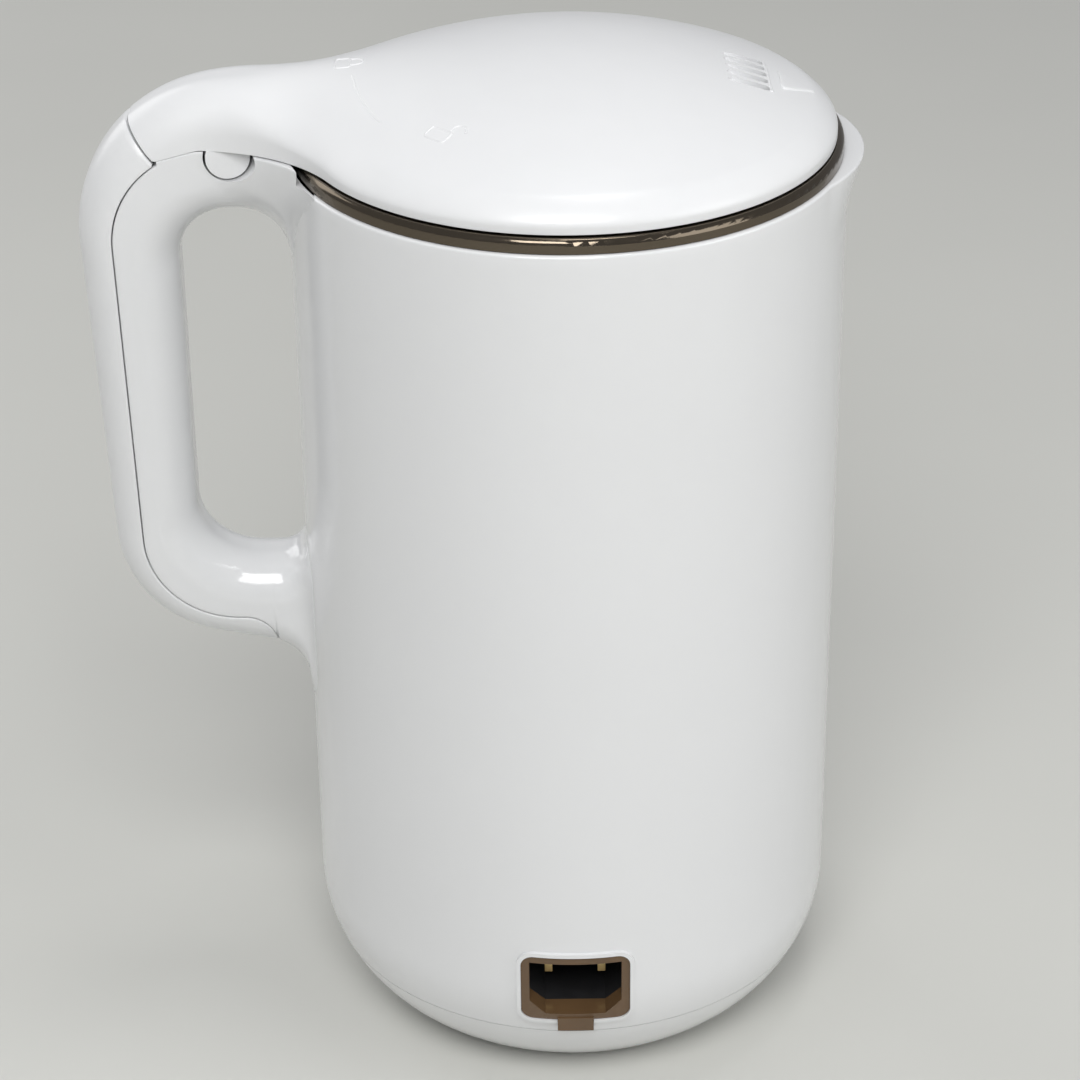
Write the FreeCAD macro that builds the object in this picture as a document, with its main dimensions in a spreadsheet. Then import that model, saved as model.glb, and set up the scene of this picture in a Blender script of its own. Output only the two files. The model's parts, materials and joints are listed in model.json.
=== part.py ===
import FreeCAD, Part
import math
import os

import Sketcher

# A jug-shaped electric soup maker: a white casing with a loop handle, a steel pot with a heater under it,
# a motor that turns the blade in the pot, and a lid that turns and lifts off.
# The origin is on the casing's axis at the floor. +Z is up, -X is the handle, -Y is the mains inlet.

# The driving dimensions, in millimetres and degrees. Those named in FROM_WALL are measured outwards from the
# casing's side, and those in FROM_RIM upwards from the casing's rim.
FROM_WALL = ["handle_reach", "flare_start", "tongue_bend", "tongue_reach", "key_orbit"]
FROM_RIM = ["crest_height", "window_top", "lid_level"]
SIZES = {
    # casing and base
    "casing_radius": 70.0,
    "casing_wall": 2.5,
    "rim_height": 247.0,
    "seam_height": 22.0,
    "seam_gap": 0.2,
    "stand_height": 1.5,
    "heel_width": 19.2,
    "heel_height": 16.1,
    "heel_upper_round": 41.0,
    "heel_lower_round": 14.0,
    "lip_reach": 3.8,
    "lip_radius": 40.0,
    "lip_depth": 14.0,
    # handle
    "handle_reach": 54.7,
    "handle_width": 26.0,
    "handle_round": 11.0,
    "grip_depth": 26.6,
    "grip_taper": 5.9,
    "crest_height": 16.0,
    "crest_rise": 8.0,
    "top_corner_round": 41.0,
    "underside_height": 115.0,
    "underside_fall": 9.8,
    "bottom_corner_round": 31.5,
    "window_top": -14.5,
    "window_bottom": 132.7,
    "window_round": 13.5,
    "window_low_round": 16.0,
    "root_top_round": 13.5,
    "root_bottom_round": 8.0,
    "root_under_round": 14.0,
    "root_step": 1.0,
    "flare_start": 24.0,
    "flare_end": 61.0,
    "flare_width": 31.0,
    "flare_round": 40.0,
    "flare_tip": 8.0,
    "parting_inset": 10.1,
    "parting_taper": 3.1,
    "parting_height": 118.0,
    "parting_upper_round": 26.0,
    "parting_lower_round": 24.0,
    "parting_end_round": 8.0,
    "cover_end": 8.3,
    "handle_wall": 2.6,
    "handle_side_wall": 6.0,
    "handle_duct": 3.5,
    # lid
    "lid_level": 4.3,
    "lid_radius": 67.1,
    "lid_apex": 20.7,
    "lid_shoulder_radius": 61.0,
    "lid_shoulder_rise": 7.7,
    "lid_side": 1.5,
    "lid_wall": 2.5,
    "lid_gap": 0.4,
    "tongue_bend": 22.0,
    "tongue_reach": 32.2,
    "tongue_drop": 2.8,
    "tongue_lean": 38.0,
    "tongue_cavity_width": 15.0,
    "tongue_cavity_height": 6.0,
    "plate_thickness": 2.0,
    "plug_radius": 53.5,
    "plug_depth": 11.0,
    "seal_height": 5.0,
    "seal_gap": 0.3,
    "key_orbit": 14.6,
    "key_radius": 5.5,
    "key_sink": 2.0,
    "key_back": 8.0,
    "channel_gap": 0.5,
    "channel_slack": 0.7,
    "channel_end_gap": 2.0,
    "vent_place": 45.0,
    "vent_slots": 5,
    "slot_length": 10.5,
    "slot_width": 1.6,
    "slot_pitch": 4.4,
    # pot and heater
    "pot_radius": 59.0,
    "pot_wall": 0.8,
    "pot_floor": 96.0,
    "pot_floor_round": 8.0,
    "pot_rim_radius": 68.9,
    "pot_rim_gap": 0.5,
    "ring_height": 6.0,
    "ring_gap": 0.3,
    "heater_inner": 36.0,
    "heater_outer": 50.0,
    "heater_plate": 3.0,
    "heater_tube": 3.5,
    "probe_radius": 4.0,
    "probe_height": 4.0,
    "cutout_radius": 5.2,
    # motor and blade
    "shaft_radius": 3.0,
    "shaft_fit": 0.03,
    "motor_radius": 26.0,
    "motor_length": 48.0,
    "motor_wall": 1.2,
    "motor_drop": 12.0,
    "rotor_radius": 19.0,
    "rotor_length": 28.0,
    "magnet_thickness": 4.6,
    "air_gap": 1.0,
    "bush_radius": 6.0,
    "bush_length": 6.0,
    "fan_radius": 22.0,
    "fan_height": 6.0,
    "fan_blades": 7,
    "vane_thickness": 1.6,
    "seal_body_radius": 8.0,
    "seal_flange_radius": 11.0,
    "blade_radius": 27.0,
    "blade_width": 9.0,
    "blade_thickness": 1.2,
    "blade_tilt": 22.0,
    "blade_wings": 4,
    "nut_radius": 5.0,
    # base, boards and fasteners
    "chassis_level": 24.0,
    "chassis_thickness": 2.5,
    "chassis_bore": 30.0,
    "chassis_gap": 0.5,
    "board_thickness": 1.6,
    "foot_radius": 5.5,
    "foot_circle": 34.0,
    "screw_radius": 1.5,
    "screw_head_radius": 2.9,
    "screw_head_height": 2.0,
    "screw_fit": 0.05,
    "boss_radius": 4.0,
    "screw_circle": 36.0,
    "screw_bite": 8.0,
    "motor_screw_circle": 18.0,
    "lid_screw_circle": 32.0,
    "lid_screw_count": 3,
    # mains inlet
    "inlet_height": 37.6,
    "inlet_width": 24.2,
    "inlet_tall": 16.5,
    "inlet_chamfer": 4.2,
    "inlet_depth": 16.0,
    "inlet_tilt": 7.0,
    "liner_wall": 2.2,
    "liner_proud": 0.4,
    "bezel_wall": 1.2,
    "bezel_proud": 0.9,
    "inlet_fit": 0.1,
    "inlet_tab_width": 9.5,
    "inlet_tab_drop": 3.4,
    "inlet_tab_proud": 1.2,
    "pin_spacing": 14.0,
    "pin_width": 2.0,
    "pin_tall": 4.0,
    "pin_length": 12.0,
    # control panel
    "panel_height": 62.0,
    "panel_width": 40.0,
    "panel_tall": 52.0,
    "panel_thickness": 1.0,
    "button_radius": 6.0,
    "button_gap": 0.35,
    "button_spacing": 20.0,
    "button_drop": 12.0,
    "button_travel": 1.0,
    "lens_radius": 1.3,
    "lens_pitch": 8.0,
    "lens_rise": 12.0,
    "lens_count": 4,
}

doc = FreeCAD.newDocument("soup_maker")
sheet = doc.addObject("Spreadsheet::Sheet", "Sizes")
for row, (alias, number) in enumerate(SIZES.items(), start=1):
    sheet.set(f"A{row}", alias)
    sheet.set(f"B{row}", str(number))
    sheet.setAlias(f"B{row}", alias)
doc.recompute()


class Size:
    """A length or angle: its number now, and the sheet expression that keeps it bound."""

    def __init__(self, value, text):
        self.value = value
        self.text = text

    def __add__(self, other):
        other = as_size(other)
        return Size(self.value + other.value, f"({self.text} + {other.text})")

    def __sub__(self, other):
        other = as_size(other)
        return Size(self.value - other.value, f"({self.text} - {other.text})")

    def __mul__(self, other):
        other = as_size(other)
        return Size(self.value * other.value, f"({self.text} * {other.text})")

    def __truediv__(self, other):
        other = as_size(other)
        return Size(self.value / other.value, f"({self.text} / {other.text})")

    def __radd__(self, other):
        return as_size(other) + self

    def __rsub__(self, other):
        return as_size(other) - self

    def __rmul__(self, other):
        return as_size(other) * self

    def __neg__(self):
        return Size(-self.value, f"(0 - {self.text})")


def as_size(number):
    """A plain number as a Size."""
    if isinstance(number, Size):
        return number
    return Size(float(number), repr(float(number)))


def root(square):
    """Square root of a Size."""
    return Size(math.sqrt(square.value), f"sqrt({square.text})")


def sine(angle):
    """Sine of an angle in degrees."""
    return Size(math.sin(math.radians(angle.value)), f"sin({angle.text} * 1 deg)")


def cosine(angle):
    """Cosine of an angle in degrees."""
    return Size(math.cos(math.radians(angle.value)), f"cos({angle.text} * 1 deg)")


def arcsine(ratio):
    """Angle in degrees whose sine is the ratio."""
    return Size(math.degrees(math.asin(ratio.value)), f"(asin({ratio.text}) / 1 deg)")


class Sheet:
    """The driving dimensions as attributes, each a Size bound to its cell."""

    def __init__(self):
        for alias in SIZES:
            setattr(self, alias, Size(float(sheet.get(alias)), f"Sizes.{alias}"))
        for alias in FROM_WALL:
            setattr(self, alias, self.casing_radius + getattr(self, alias))
        for alias in FROM_RIM:
            setattr(self, alias, self.rim_height + getattr(self, alias))


s = Sheet()
ZERO = as_size(0)
FULL_TURN = as_size(360)
TALL = s.rim_height * 2
WIDE = s.handle_reach * 2
TINY = 1e-4


# Drawing and solids

def bind(item, name, value):
    """Binds a property of an item to a Size."""
    item.setExpression(name, as_size(value).text)


def place(item, x, y, z):
    """Binds an item's place."""
    bind(item, ".Placement.Base.x", x)
    bind(item, ".Placement.Base.y", y)
    bind(item, ".Placement.Base.z", z)


def box(name, x, y, z):
    """A box between pairs of coordinates along X, Y and Z."""
    item = doc.addObject("Part::Box", name)
    for edge, (low, high) in zip(("Length", "Width", "Height"), (x, y, z)):
        bind(item, edge, as_size(high) - low)
    place(item, x[0], y[0], z[0])
    return item


def rod(name, radius, low, high, x=ZERO, y=ZERO):
    """An upright cylinder between two heights."""
    item = doc.addObject("Part::Cylinder", name)
    bind(item, "Radius", radius)
    bind(item, "Height", as_size(high) - low)
    place(item, x, y, low)
    return item


def rod_along_y(name, radius, low, high, x, z):
    """A cylinder lying along Y."""
    item = doc.addObject("Part::Cylinder", name)
    bind(item, "Radius", radius)
    bind(item, "Height", as_size(high) - low)
    item.Placement = FreeCAD.Placement(FreeCAD.Vector(), FreeCAD.Rotation(FreeCAD.Vector(1, 0, 0), -90))
    place(item, x, low, z)
    return item


def fuse(name, *pieces):
    """The union of pieces, or their group where they stand apart."""
    item = doc.addObject("Part::MultiFuse", name)
    item.Shapes = list(pieces)
    return item


def cut(name, base, *tools):
    """A piece with tools taken out of it."""
    item = doc.addObject("Part::Cut", name)
    item.Base = base
    item.Tool = tools[0] if len(tools) == 1 else fuse(f"{name}_tools", *tools)
    return item


def common(name, first, second):
    """What two solids share."""
    item = doc.addObject("Part::Common", name)
    item.Base = first
    item.Tool = second
    return item


def pin_point(sketch, geometry, position, x, y):
    """Holds a point of a sketch at a place bound to the sheet."""
    for kind, axis, value in (("DistanceX", -2, x), ("DistanceY", -1, y)):
        value = as_size(value)
        if value.text == ZERO.text:
            sketch.addConstraint(Sketcher.Constraint("PointOnObject", geometry, position, axis))
        else:
            rule = Sketcher.Constraint(kind, -1, 1, geometry, position, value.value)
            sketch.setExpression(f"Constraints[{sketch.addConstraint(rule)}]", value.text)


def set_radius(sketch, geometry, radius):
    """Binds an arc's radius."""
    rule = Sketcher.Constraint("Radius", geometry, radius.value)
    sketch.setExpression(f"Constraints[{sketch.addConstraint(rule)}]", radius.text)


def arc_between(start, end, centre):
    """An arc of a sketch the short way from start to end, and the positions of those two ends on it."""
    first = start - centre
    last = end - centre
    left_turn = first.x * last.y - first.y * last.x > 0
    angles = [math.atan2(ray.y, ray.x) for ray in (first, last)]
    circle = Part.Circle(centre, FreeCAD.Vector(0, 0, 1), first.Length)
    if left_turn:
        return Part.ArcOfCircle(circle, angles[0], angles[1]), 1, 2
    return Part.ArcOfCircle(circle, angles[1], angles[0]), 2, 1


class Bow:
    """A bowed edge of an outline, with its centre to the left (1) or right (-1) of the way along."""

    def __init__(self, radius, side):
        self.radius = radius
        self.side = side


def draw(sketch, outline):
    """Draws a closed outline of corners (x, y) or (x, y, rounding). A Bow bows the edge after a corner."""
    corners = [item for item in outline if not isinstance(item, Bow)]
    bows = {}
    for index, item in enumerate(outline):
        if isinstance(item, Bow):
            bows[sum(1 for earlier in outline[:index] if not isinstance(earlier, Bow)) - 1] = item
    count = len(corners)
    points = [FreeCAD.Vector(as_size(item[0]).value, as_size(item[1]).value, 0) for item in corners]
    arrive = list(points)
    leave = list(points)
    centres = {}
    for index, corner in enumerate(corners):
        if len(corner) == 3:
            back = (points[index - 1] - points[index]).normalize()
            ahead = (points[(index + 1) % count] - points[index]).normalize()
            half = back.getAngle(ahead) / 2
            rounding = corner[2].value
            arrive[index] = points[index] + back * (rounding / math.tan(half))
            leave[index] = points[index] + ahead * (rounding / math.tan(half))
            centres[index] = points[index] + (back + ahead).normalize() * (rounding / math.sin(half))
    edges = []
    for index in range(count):
        start = leave[index]
        end = arrive[(index + 1) % count]
        if index in bows:
            bow = bows[index]
            along = (end - start).normalize()
            rise = math.sqrt(bow.radius.value ** 2 - ((end - start).Length / 2) ** 2)
            centre = (start + end) * 0.5 + FreeCAD.Vector(-along.y, along.x, 0) * (rise * bow.side)
            arc, first, last = arc_between(start, end, centre)
            edge = sketch.addGeometry(arc, False)
            set_radius(sketch, edge, bow.radius)
            edges.append((edge, first, last))
        else:
            edges.append((sketch.addGeometry(Part.LineSegment(start, end), False), 1, 2))
    for index, corner in enumerate(corners):
        before, _, before_end = edges[index - 1]
        after, after_start, _ = edges[index]
        if index in centres:
            arc, first, last = arc_between(arrive[index], leave[index], centres[index])
            bend = sketch.addGeometry(arc, False)
            sketch.addConstraint(Sketcher.Constraint("Tangent", before, before_end, bend, first))
            sketch.addConstraint(Sketcher.Constraint("Tangent", bend, last, after, after_start))
            set_radius(sketch, bend, corner[2])
            mark = sketch.addGeometry(Part.Point(points[index]), True)
            pin_point(sketch, mark, 1, corner[0], corner[1])
            sketch.addConstraint(Sketcher.Constraint("PointOnObject", mark, 1, before))
            sketch.addConstraint(Sketcher.Constraint("PointOnObject", mark, 1, after))
        else:
            sketch.addConstraint(Sketcher.Constraint("Coincident", before, before_end, after, after_start))
            pin_point(sketch, after, after_start, corner[0], corner[1])


def new_sketch(body, name, role, outlines, level=None):
    """A sketch on one of a body's origin planes, moved off it to a level."""
    sketch = body.newObject("Sketcher::SketchObject", name)
    origin_plane = next(item for item in body.Origin.OriginFeatures if item.Role == role)
    sketch.AttachmentSupport = [(origin_plane, "")]
    sketch.MapMode = "FlatFace"
    if level is not None:
        bind(sketch, ".AttachmentOffset.Base.z", level)
    for outline in outlines:
        draw(sketch, outline)
    return sketch


def spin(name, outline):
    """A solid of revolution about the casing's axis, from an outline of (radius, height) corners."""
    body = doc.addObject("PartDesign::Body", name)
    sketch = new_sketch(body, f"{name}_profile", "XZ_Plane", [outline])
    feature = body.newObject("PartDesign::Revolution", f"{name}_turn")
    feature.Profile = sketch
    feature.ReferenceAxis = (sketch, ["V_Axis"])
    feature.Angle = FULL_TURN.value
    return body


def side_pad(name, outlines, width):
    """A solid from outlines of (x, z) corners, with half its width on each side of the handle's plane."""
    body = doc.addObject("PartDesign::Body", name)
    feature = body.newObject("PartDesign::Pad", f"{name}_pad")
    feature.Profile = new_sketch(body, f"{name}_profile", "XZ_Plane", outlines)
    feature.Midplane = True
    bind(feature, "Length", width)
    return body


def inlet_pad(name, outline, near, far):
    """A solid from an outline of (x, z) corners, from one Y to another, tilted with the casing's heel."""
    body = doc.addObject("PartDesign::Body", name)
    feature = body.newObject("PartDesign::Pad", f"{name}_pad")
    feature.Profile = new_sketch(body, f"{name}_profile", "XZ_Plane", [outline], -as_size(far))
    bind(feature, "Length", as_size(far) - near)
    tilt = FreeCAD.Rotation(FreeCAD.Vector(1, 0, 0), s.inlet_tilt.value)
    body.Placement = FreeCAD.Placement(FreeCAD.Vector(), tilt)
    bind(body, ".Placement.Rotation.Angle", s.inlet_tilt)
    over = sine(s.inlet_tilt)
    back = 1 - cosine(s.inlet_tilt)
    place(
        body,
        ZERO,
        s.inlet_height * over - s.casing_radius * back,
        s.inlet_height * back + s.casing_radius * over,
    )
    return body


def round_sides(body, width, radius, reach):
    """Rounds the edges on a padded body's two flat sides, where they come out past a reach from the axis."""
    doc.recompute()
    padded = body.Tip
    names = []
    for index, edge in enumerate(padded.Shape.Edges, start=1):
        flat = abs(edge.BoundBox.YMax - edge.BoundBox.YMin) < TINY
        on_side = abs(abs(edge.BoundBox.YMax) - width.value / 2) < TINY
        if flat and on_side and edge.BoundBox.XMin < -reach.value - TINY:
            names.append(f"Edge{index}")
    feature = body.newObject("PartDesign::Fillet", f"{body.Name}_round")
    feature.Base = (padded, names)
    bind(feature, "Radius", radius)
    return body


def ring(name, inner, outer, low, high):
    """A plain ring about the casing's axis."""
    return spin(name, [(inner, low), (outer, low), (outer, high), (inner, high)])


def label(item, node):
    """Names an item as a finished piece."""
    item.Label = node
    PIECES[node] = item
    return item


PIECES = {}


# Forms shared by several pieces

def heel(inset):
    """Corners of the casing's heel, moved inwards by an inset, from the side to the bottom."""
    slant = root(s.heel_width * s.heel_width + s.heel_height * s.heel_height)
    side = s.casing_radius - inset
    bottom = s.stand_height + inset
    upper = s.stand_height + s.heel_height + inset * (slant - s.heel_height) / s.heel_width
    lower = s.casing_radius - s.heel_width - inset * (slant - s.heel_width) / s.heel_height
    return [
        (side, upper, s.heel_upper_round - inset),
        (lower, bottom, s.heel_lower_round - inset),
        (ZERO, bottom),
    ]


root_line = s.casing_radius - s.casing_wall / 4
grip_foot = s.handle_reach - s.grip_taper
grip_inner = s.handle_reach - s.grip_depth


def underside_at(reach):
    """Height of the handle's underside at a reach from the axis."""
    return s.underside_height - s.underside_fall * (grip_foot - reach) / (grip_foot - root_line)


def handle_outline():
    """The handle's outline: a C whose two arms reach inside the casing and the lid, with rounded roots."""
    inside = s.casing_radius * 0.8
    lid_inside = s.casing_radius * 0.4
    under_root = underside_at(root_line)
    under_end = under_root - s.root_under_round * 2
    top_end = s.window_top - s.root_top_round * 2
    bottom_end = s.window_bottom + s.root_bottom_round * 2
    return [
        (-inside, under_end),
        (-root_line, under_end),
        (-root_line, under_root, s.root_under_round),
        (-grip_foot, s.underside_height, s.bottom_corner_round),
        (-s.handle_reach, s.crest_height, s.top_corner_round),
        (-lid_inside, s.crest_height + s.crest_rise),
        (-lid_inside, top_end),
        (-root_line, top_end),
        (-root_line, s.window_top, s.root_top_round),
        (-grip_inner, s.window_top, s.window_round),
        (-grip_inner, s.window_bottom, s.window_low_round),
        (-root_line, s.window_bottom, s.root_bottom_round),
        (-root_line, bottom_end),
        (-inside, bottom_end),
    ]


def lid_space(name, gap):
    """The space that the lid turns in: above a plane, with a sloping end that leans out over the handle."""
    level = s.lid_level - gap
    end = s.tongue_reach + gap
    drop = level - s.tongue_drop
    high = s.lid_level + s.lid_apex * 2
    lean = s.tongue_lean
    return spin(name, [
        (ZERO, level),
        (s.tongue_bend, level),
        (end, drop),
        (end + (high - drop) * sine(lean) / cosine(lean), high),
        (ZERO, high),
    ])


def flare(name, level, far_level):
    """The spread of the handle's root where it meets the casing, fading from one level to another."""
    body = doc.addObject("PartDesign::Body", name)
    half = s.handle_width / 2
    inside = s.casing_radius * 0.5

    def outline(width, spread):
        return [
            (-s.flare_start, -width),
            Bow(s.flare_round, -1),
            (-s.flare_end, -spread),
            (-inside, -spread),
            (-inside, spread),
            (-s.flare_end, spread),
            Bow(s.flare_round, -1),
            (-s.flare_start, width),
        ]

    wide_outline = outline(half, s.flare_width)
    thin_outline = outline(half - s.handle_round, s.flare_tip)
    wide = new_sketch(body, f"{name}_wide", "XY_Plane", [wide_outline], level)
    thin = new_sketch(body, f"{name}_thin", "XY_Plane", [thin_outline], far_level)
    feature = body.newObject("PartDesign::AdditiveLoft", f"{name}_loft")
    feature.Profile = wide
    feature.Sections = [thin]
    feature.Ruled = True
    return body


def screws(name, low, high, places, head_low):
    """A group of like screws, each a head under a shank."""
    pieces = []
    for index, (x, y) in enumerate(places, start=1):
        head_high = head_low + s.screw_head_height
        head = rod(f"{name}_head_{index}", s.screw_head_radius, head_low, head_high, x, y)
        shank = rod(f"{name}_shank_{index}", s.screw_radius, low, high, x, y)
        pieces.append(fuse(f"{name}_{index}", head, shank))
    return pieces


def circle_places(radius, count, start):
    """Points at equal angles on a circle about the axis."""
    places = []
    for index in range(count):
        angle = as_size(start) + index * FULL_TURN / count
        places.append((radius * cosine(angle), radius * sine(angle)))
    return places


# Handle loop and lid space

lid_room = lid_space("lid_room", s.lid_gap)
lid_form = lid_space("lid_form", ZERO)
loop = side_pad("loop", [handle_outline()], s.handle_width)
round_sides(loop, s.handle_width, s.handle_round, root_line)
handle_form = fuse("handle_form", loop, flare("handle_flare", s.lid_level, s.window_top))
below_rim = rod("below_rim", s.casing_radius - s.casing_wall / 2, -s.rim_height, s.rim_height)
above_rim = rod("above_rim", s.casing_radius + s.root_step, s.rim_height, TALL)

# The duct inside the handle: a C from the lower arm up the grip and along the top arm.
duct_near = s.casing_radius + s.handle_wall
duct = side_pad("duct", [[
    (-duct_near, underside_at(duct_near) + s.handle_wall),
    (
        -(grip_foot - s.handle_wall),
        s.underside_height + s.handle_wall,
        s.bottom_corner_round - s.handle_wall,
    ),
    (
        -(s.handle_reach - s.handle_wall),
        s.window_top + s.handle_wall + s.handle_duct,
        s.window_round + s.handle_wall * 3,
    ),
    (-duct_near, s.window_top + s.handle_wall + s.handle_duct),
    (-duct_near, s.window_top + s.handle_wall),
    (-(grip_inner + s.handle_wall), s.window_top + s.handle_wall, s.window_round + s.handle_wall),
    (-(grip_inner + s.handle_wall), s.window_bottom - s.handle_wall, s.window_low_round + s.handle_wall),
    (-duct_near, s.window_bottom - s.handle_wall),
]], s.handle_width - s.handle_side_wall * 2)


def cover_space(name, gap):
    """The side of the parting line that belongs to the handle cover."""
    edge = s.handle_reach - s.parting_inset + gap
    low_edge = edge - s.parting_taper
    far = s.handle_reach * 1.2
    end = s.casing_radius + s.cover_end + gap
    return side_pad(name, [[
        (-end, s.underside_height / 2),
        (-end, s.parting_height - gap, s.parting_end_round),
        (-low_edge, s.parting_height - gap, s.parting_lower_round),
        (-edge, s.lid_level, s.parting_upper_round),
        (-s.tongue_bend, s.lid_level),
        (-s.tongue_bend, TALL),
        (-far, TALL),
        (-far, s.underside_height / 2),
    ]], WIDE)


# The half-round key under the tongue, and the channel that it turns in.
key_level = s.lid_level - s.key_sink
key_front = arcsine(s.handle_width / 2 / s.key_orbit)
key_rear = arcsine(s.key_back / s.key_orbit)


def half_round(name, orbit, radius, rear, front):
    """A round bar bent about the axis, from an angle behind the handle's plane to one in front."""
    item = doc.addObject("Part::Torus", name)
    bind(item, "Radius1", orbit)
    bind(item, "Radius2", radius)
    bind(item, "Angle3", rear + front)
    bind(item, ".Placement.Base.z", key_level)
    item.Placement = FreeCAD.Placement(
        FreeCAD.Vector(0, 0, key_level.value),
        FreeCAD.Rotation(FreeCAD.Vector(0, 0, 1), 180 - rear.value),
    )
    bind(item, ".Placement.Rotation.Angle", 180 - rear)
    return item


channel = half_round(
    "channel",
    s.key_orbit - (s.channel_slack - s.channel_gap) / 2,
    s.key_radius + (s.channel_slack + s.channel_gap) / 2,
    arcsine((s.key_back + s.channel_end_gap) / s.key_orbit),
    key_front * 2,
)

# Casing

shell = spin("shell", [
    (s.casing_radius, s.rim_height),
    *heel(ZERO),
    *reversed(heel(s.casing_wall)),
    (s.casing_radius - s.casing_wall, s.rim_height),
])
lip = doc.addObject("Part::Cone", "lip")
bind(lip, "Radius1", s.lip_radius - s.lip_reach)
bind(lip, "Radius2", s.lip_radius)
bind(lip, "Height", s.lip_depth)
place(lip, s.casing_radius + s.lip_reach - s.lip_radius, ZERO, s.rim_height - s.lip_depth)
lip_outside = cut("lip_outside", lip, rod("lip_core", s.casing_radius - s.casing_wall / 2, ZERO, TALL))

handle_inner = cut(
    "handle_inner",
    handle_form,
    below_rim,
    above_rim,
    lid_room,
    channel,
    duct,
    cover_space("cover_room", -s.seam_gap),
)
screw_reach = s.casing_radius + s.casing_wall + s.boss_radius * 4
screw_x = -screw_reach
boss_low = underside_at(screw_reach) + s.handle_wall * 2
handle_boss = rod("handle_boss", s.boss_radius, boss_low, s.window_bottom - s.handle_wall / 2, screw_x)

inlet_low = s.inlet_height - s.inlet_tall / 2
inlet_high = s.inlet_height + s.inlet_tall / 2


def inlet_shape(grow):
    """The inlet's outline, grown by an amount, with its two lower corners cut off."""
    half = s.inlet_width / 2 + grow
    low = inlet_low - grow
    high = inlet_high + grow
    return [
        (-half + s.inlet_chamfer, low),
        (half - s.inlet_chamfer, low),
        (half, low + s.inlet_chamfer),
        (half, high),
        (-half, high),
        (-half, low + s.inlet_chamfer),
    ]


def inlet_frame(grow):
    """A rectangle round the inlet with rounded corners, grown by an amount."""
    half = s.inlet_width / 2 + grow
    low = inlet_low - grow
    high = inlet_high + grow
    rounding = grow + s.liner_wall / 2
    return [(-half, low, rounding), (half, low, rounding), (half, high, rounding), (-half, high, rounding)]


bezel_grow = s.liner_wall + s.bezel_wall
inlet_back = s.casing_radius - s.casing_wall * 2
inlet_hole = inlet_pad("inlet_hole", inlet_frame(bezel_grow + s.inlet_fit), -WIDE, -s.inlet_width)

panel_low = s.panel_height - s.panel_tall / 2
panel_high = s.panel_height + s.panel_tall / 2
panel_half = s.panel_width / 2
panel_floor = s.casing_radius - s.panel_thickness


def panel_block(name, gap, inner):
    """A curved plate on the far side of the casing, with a gap taken off all round."""
    block = box(
        f"{name}_block",
        (-panel_half + gap, panel_half - gap),
        (s.casing_radius / 2, WIDE),
        (panel_low + gap, panel_high - gap),
    )
    core = rod(f"{name}_core", inner, ZERO, TALL)
    return cut(name, block, core)


panel_recess = panel_block("panel_recess", ZERO, panel_floor)
button_z = s.panel_height - s.button_drop
button_places = {"start_button": s.button_spacing / 2, "select_button": -s.button_spacing / 2}
lens_z = s.panel_height + s.lens_rise
lens_places = [
    (index - (s.lens_count - 1) / 2) * s.lens_pitch for index in range(int(s.lens_count.value))
]
button_back = s.casing_radius - s.casing_wall * 3
button_holes = [
    rod_along_y(f"{name}_hole", s.button_radius + s.button_gap, s.casing_radius / 2, WIDE, x, button_z)
    for name, x in button_places.items()
]
lens_holes = [
    rod_along_y(f"lens_hole_{index}", s.lens_radius + s.screw_fit, s.casing_radius / 2, WIDE, x, lens_z)
    for index, x in enumerate(lens_places, start=1)
]
panel_holes = fuse("panel_holes", *button_holes, *lens_holes)
below_seam = rod("below_seam", s.casing_radius * 2, -s.rim_height, s.seam_height)
boss_hole = rod("boss_hole", s.screw_radius + s.screw_fit, ZERO, s.window_bottom - s.handle_wall, screw_x)
label(cut(
    "casing_piece",
    fuse("casing_form", shell, handle_inner, lip_outside, handle_boss),
    below_seam,
    inlet_hole,
    panel_recess,
    panel_holes,
    boss_hole,
), "casing")

# Handle cover, with a hole for its screw in the underside

boss_room = rod("boss_room", s.boss_radius + s.seam_gap, boss_low, TALL, screw_x)
cover_form = common(
    "cover_form",
    cut("cover_outside", loop, below_rim, lid_room, duct, boss_room),
    cover_space("cover_space", ZERO),
)
post_top = boss_low - s.seam_gap
head_seat = post_top - s.handle_wall
cover_post = common("cover_post", loop, rod("cover_post_rod", s.boss_radius, ZERO, post_top, screw_x))
head_room = rod("head_room", s.screw_head_radius + s.seam_gap, ZERO, head_seat, screw_x)
cover_hole = rod("cover_hole", s.screw_radius + s.screw_fit, ZERO, boss_low, screw_x)
cover_solid = fuse("cover_solid", cover_form, cover_post)
label(cut("handle_cover_piece", cover_solid, head_room, cover_hole), "handle_cover")
handle_screw_low = head_seat - s.screw_head_height
label(screws(
    "handle_screw", handle_screw_low, boss_low + s.screw_bite, [(screw_x, ZERO)], handle_screw_low,
)[0], "handle_screw")

# Base cover and feet

seam_top = s.seam_height - s.seam_gap
base_tube_top = s.chassis_level - s.boss_radius * 2
base_places = circle_places(s.screw_circle, 4, 0)
base_head_low = s.stand_height
base_form = common("base_form", shell, rod("under_seam", s.casing_radius * 2, -s.rim_height, seam_top))
base_tubes = [
    rod(f"base_tube_{index}", s.boss_radius, s.stand_height + s.casing_wall / 2, base_tube_top, x, y)
    for index, (x, y) in enumerate(base_places, start=1)
]
base_holes = []
base_sink_top = s.stand_height + s.screw_head_height
for index, (x, y) in enumerate(base_places, start=1):
    base_holes.append(rod(f"base_bore_{index}", s.screw_radius + s.screw_fit, ZERO, TALL, x, y))
    base_holes.append(rod(f"base_sink_{index}", s.screw_head_radius + s.seam_gap, ZERO, base_sink_top, x, y))
label(cut("base_cover_piece", fuse("base_cover_form", base_form, *base_tubes), *base_holes), "base_cover")
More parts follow.
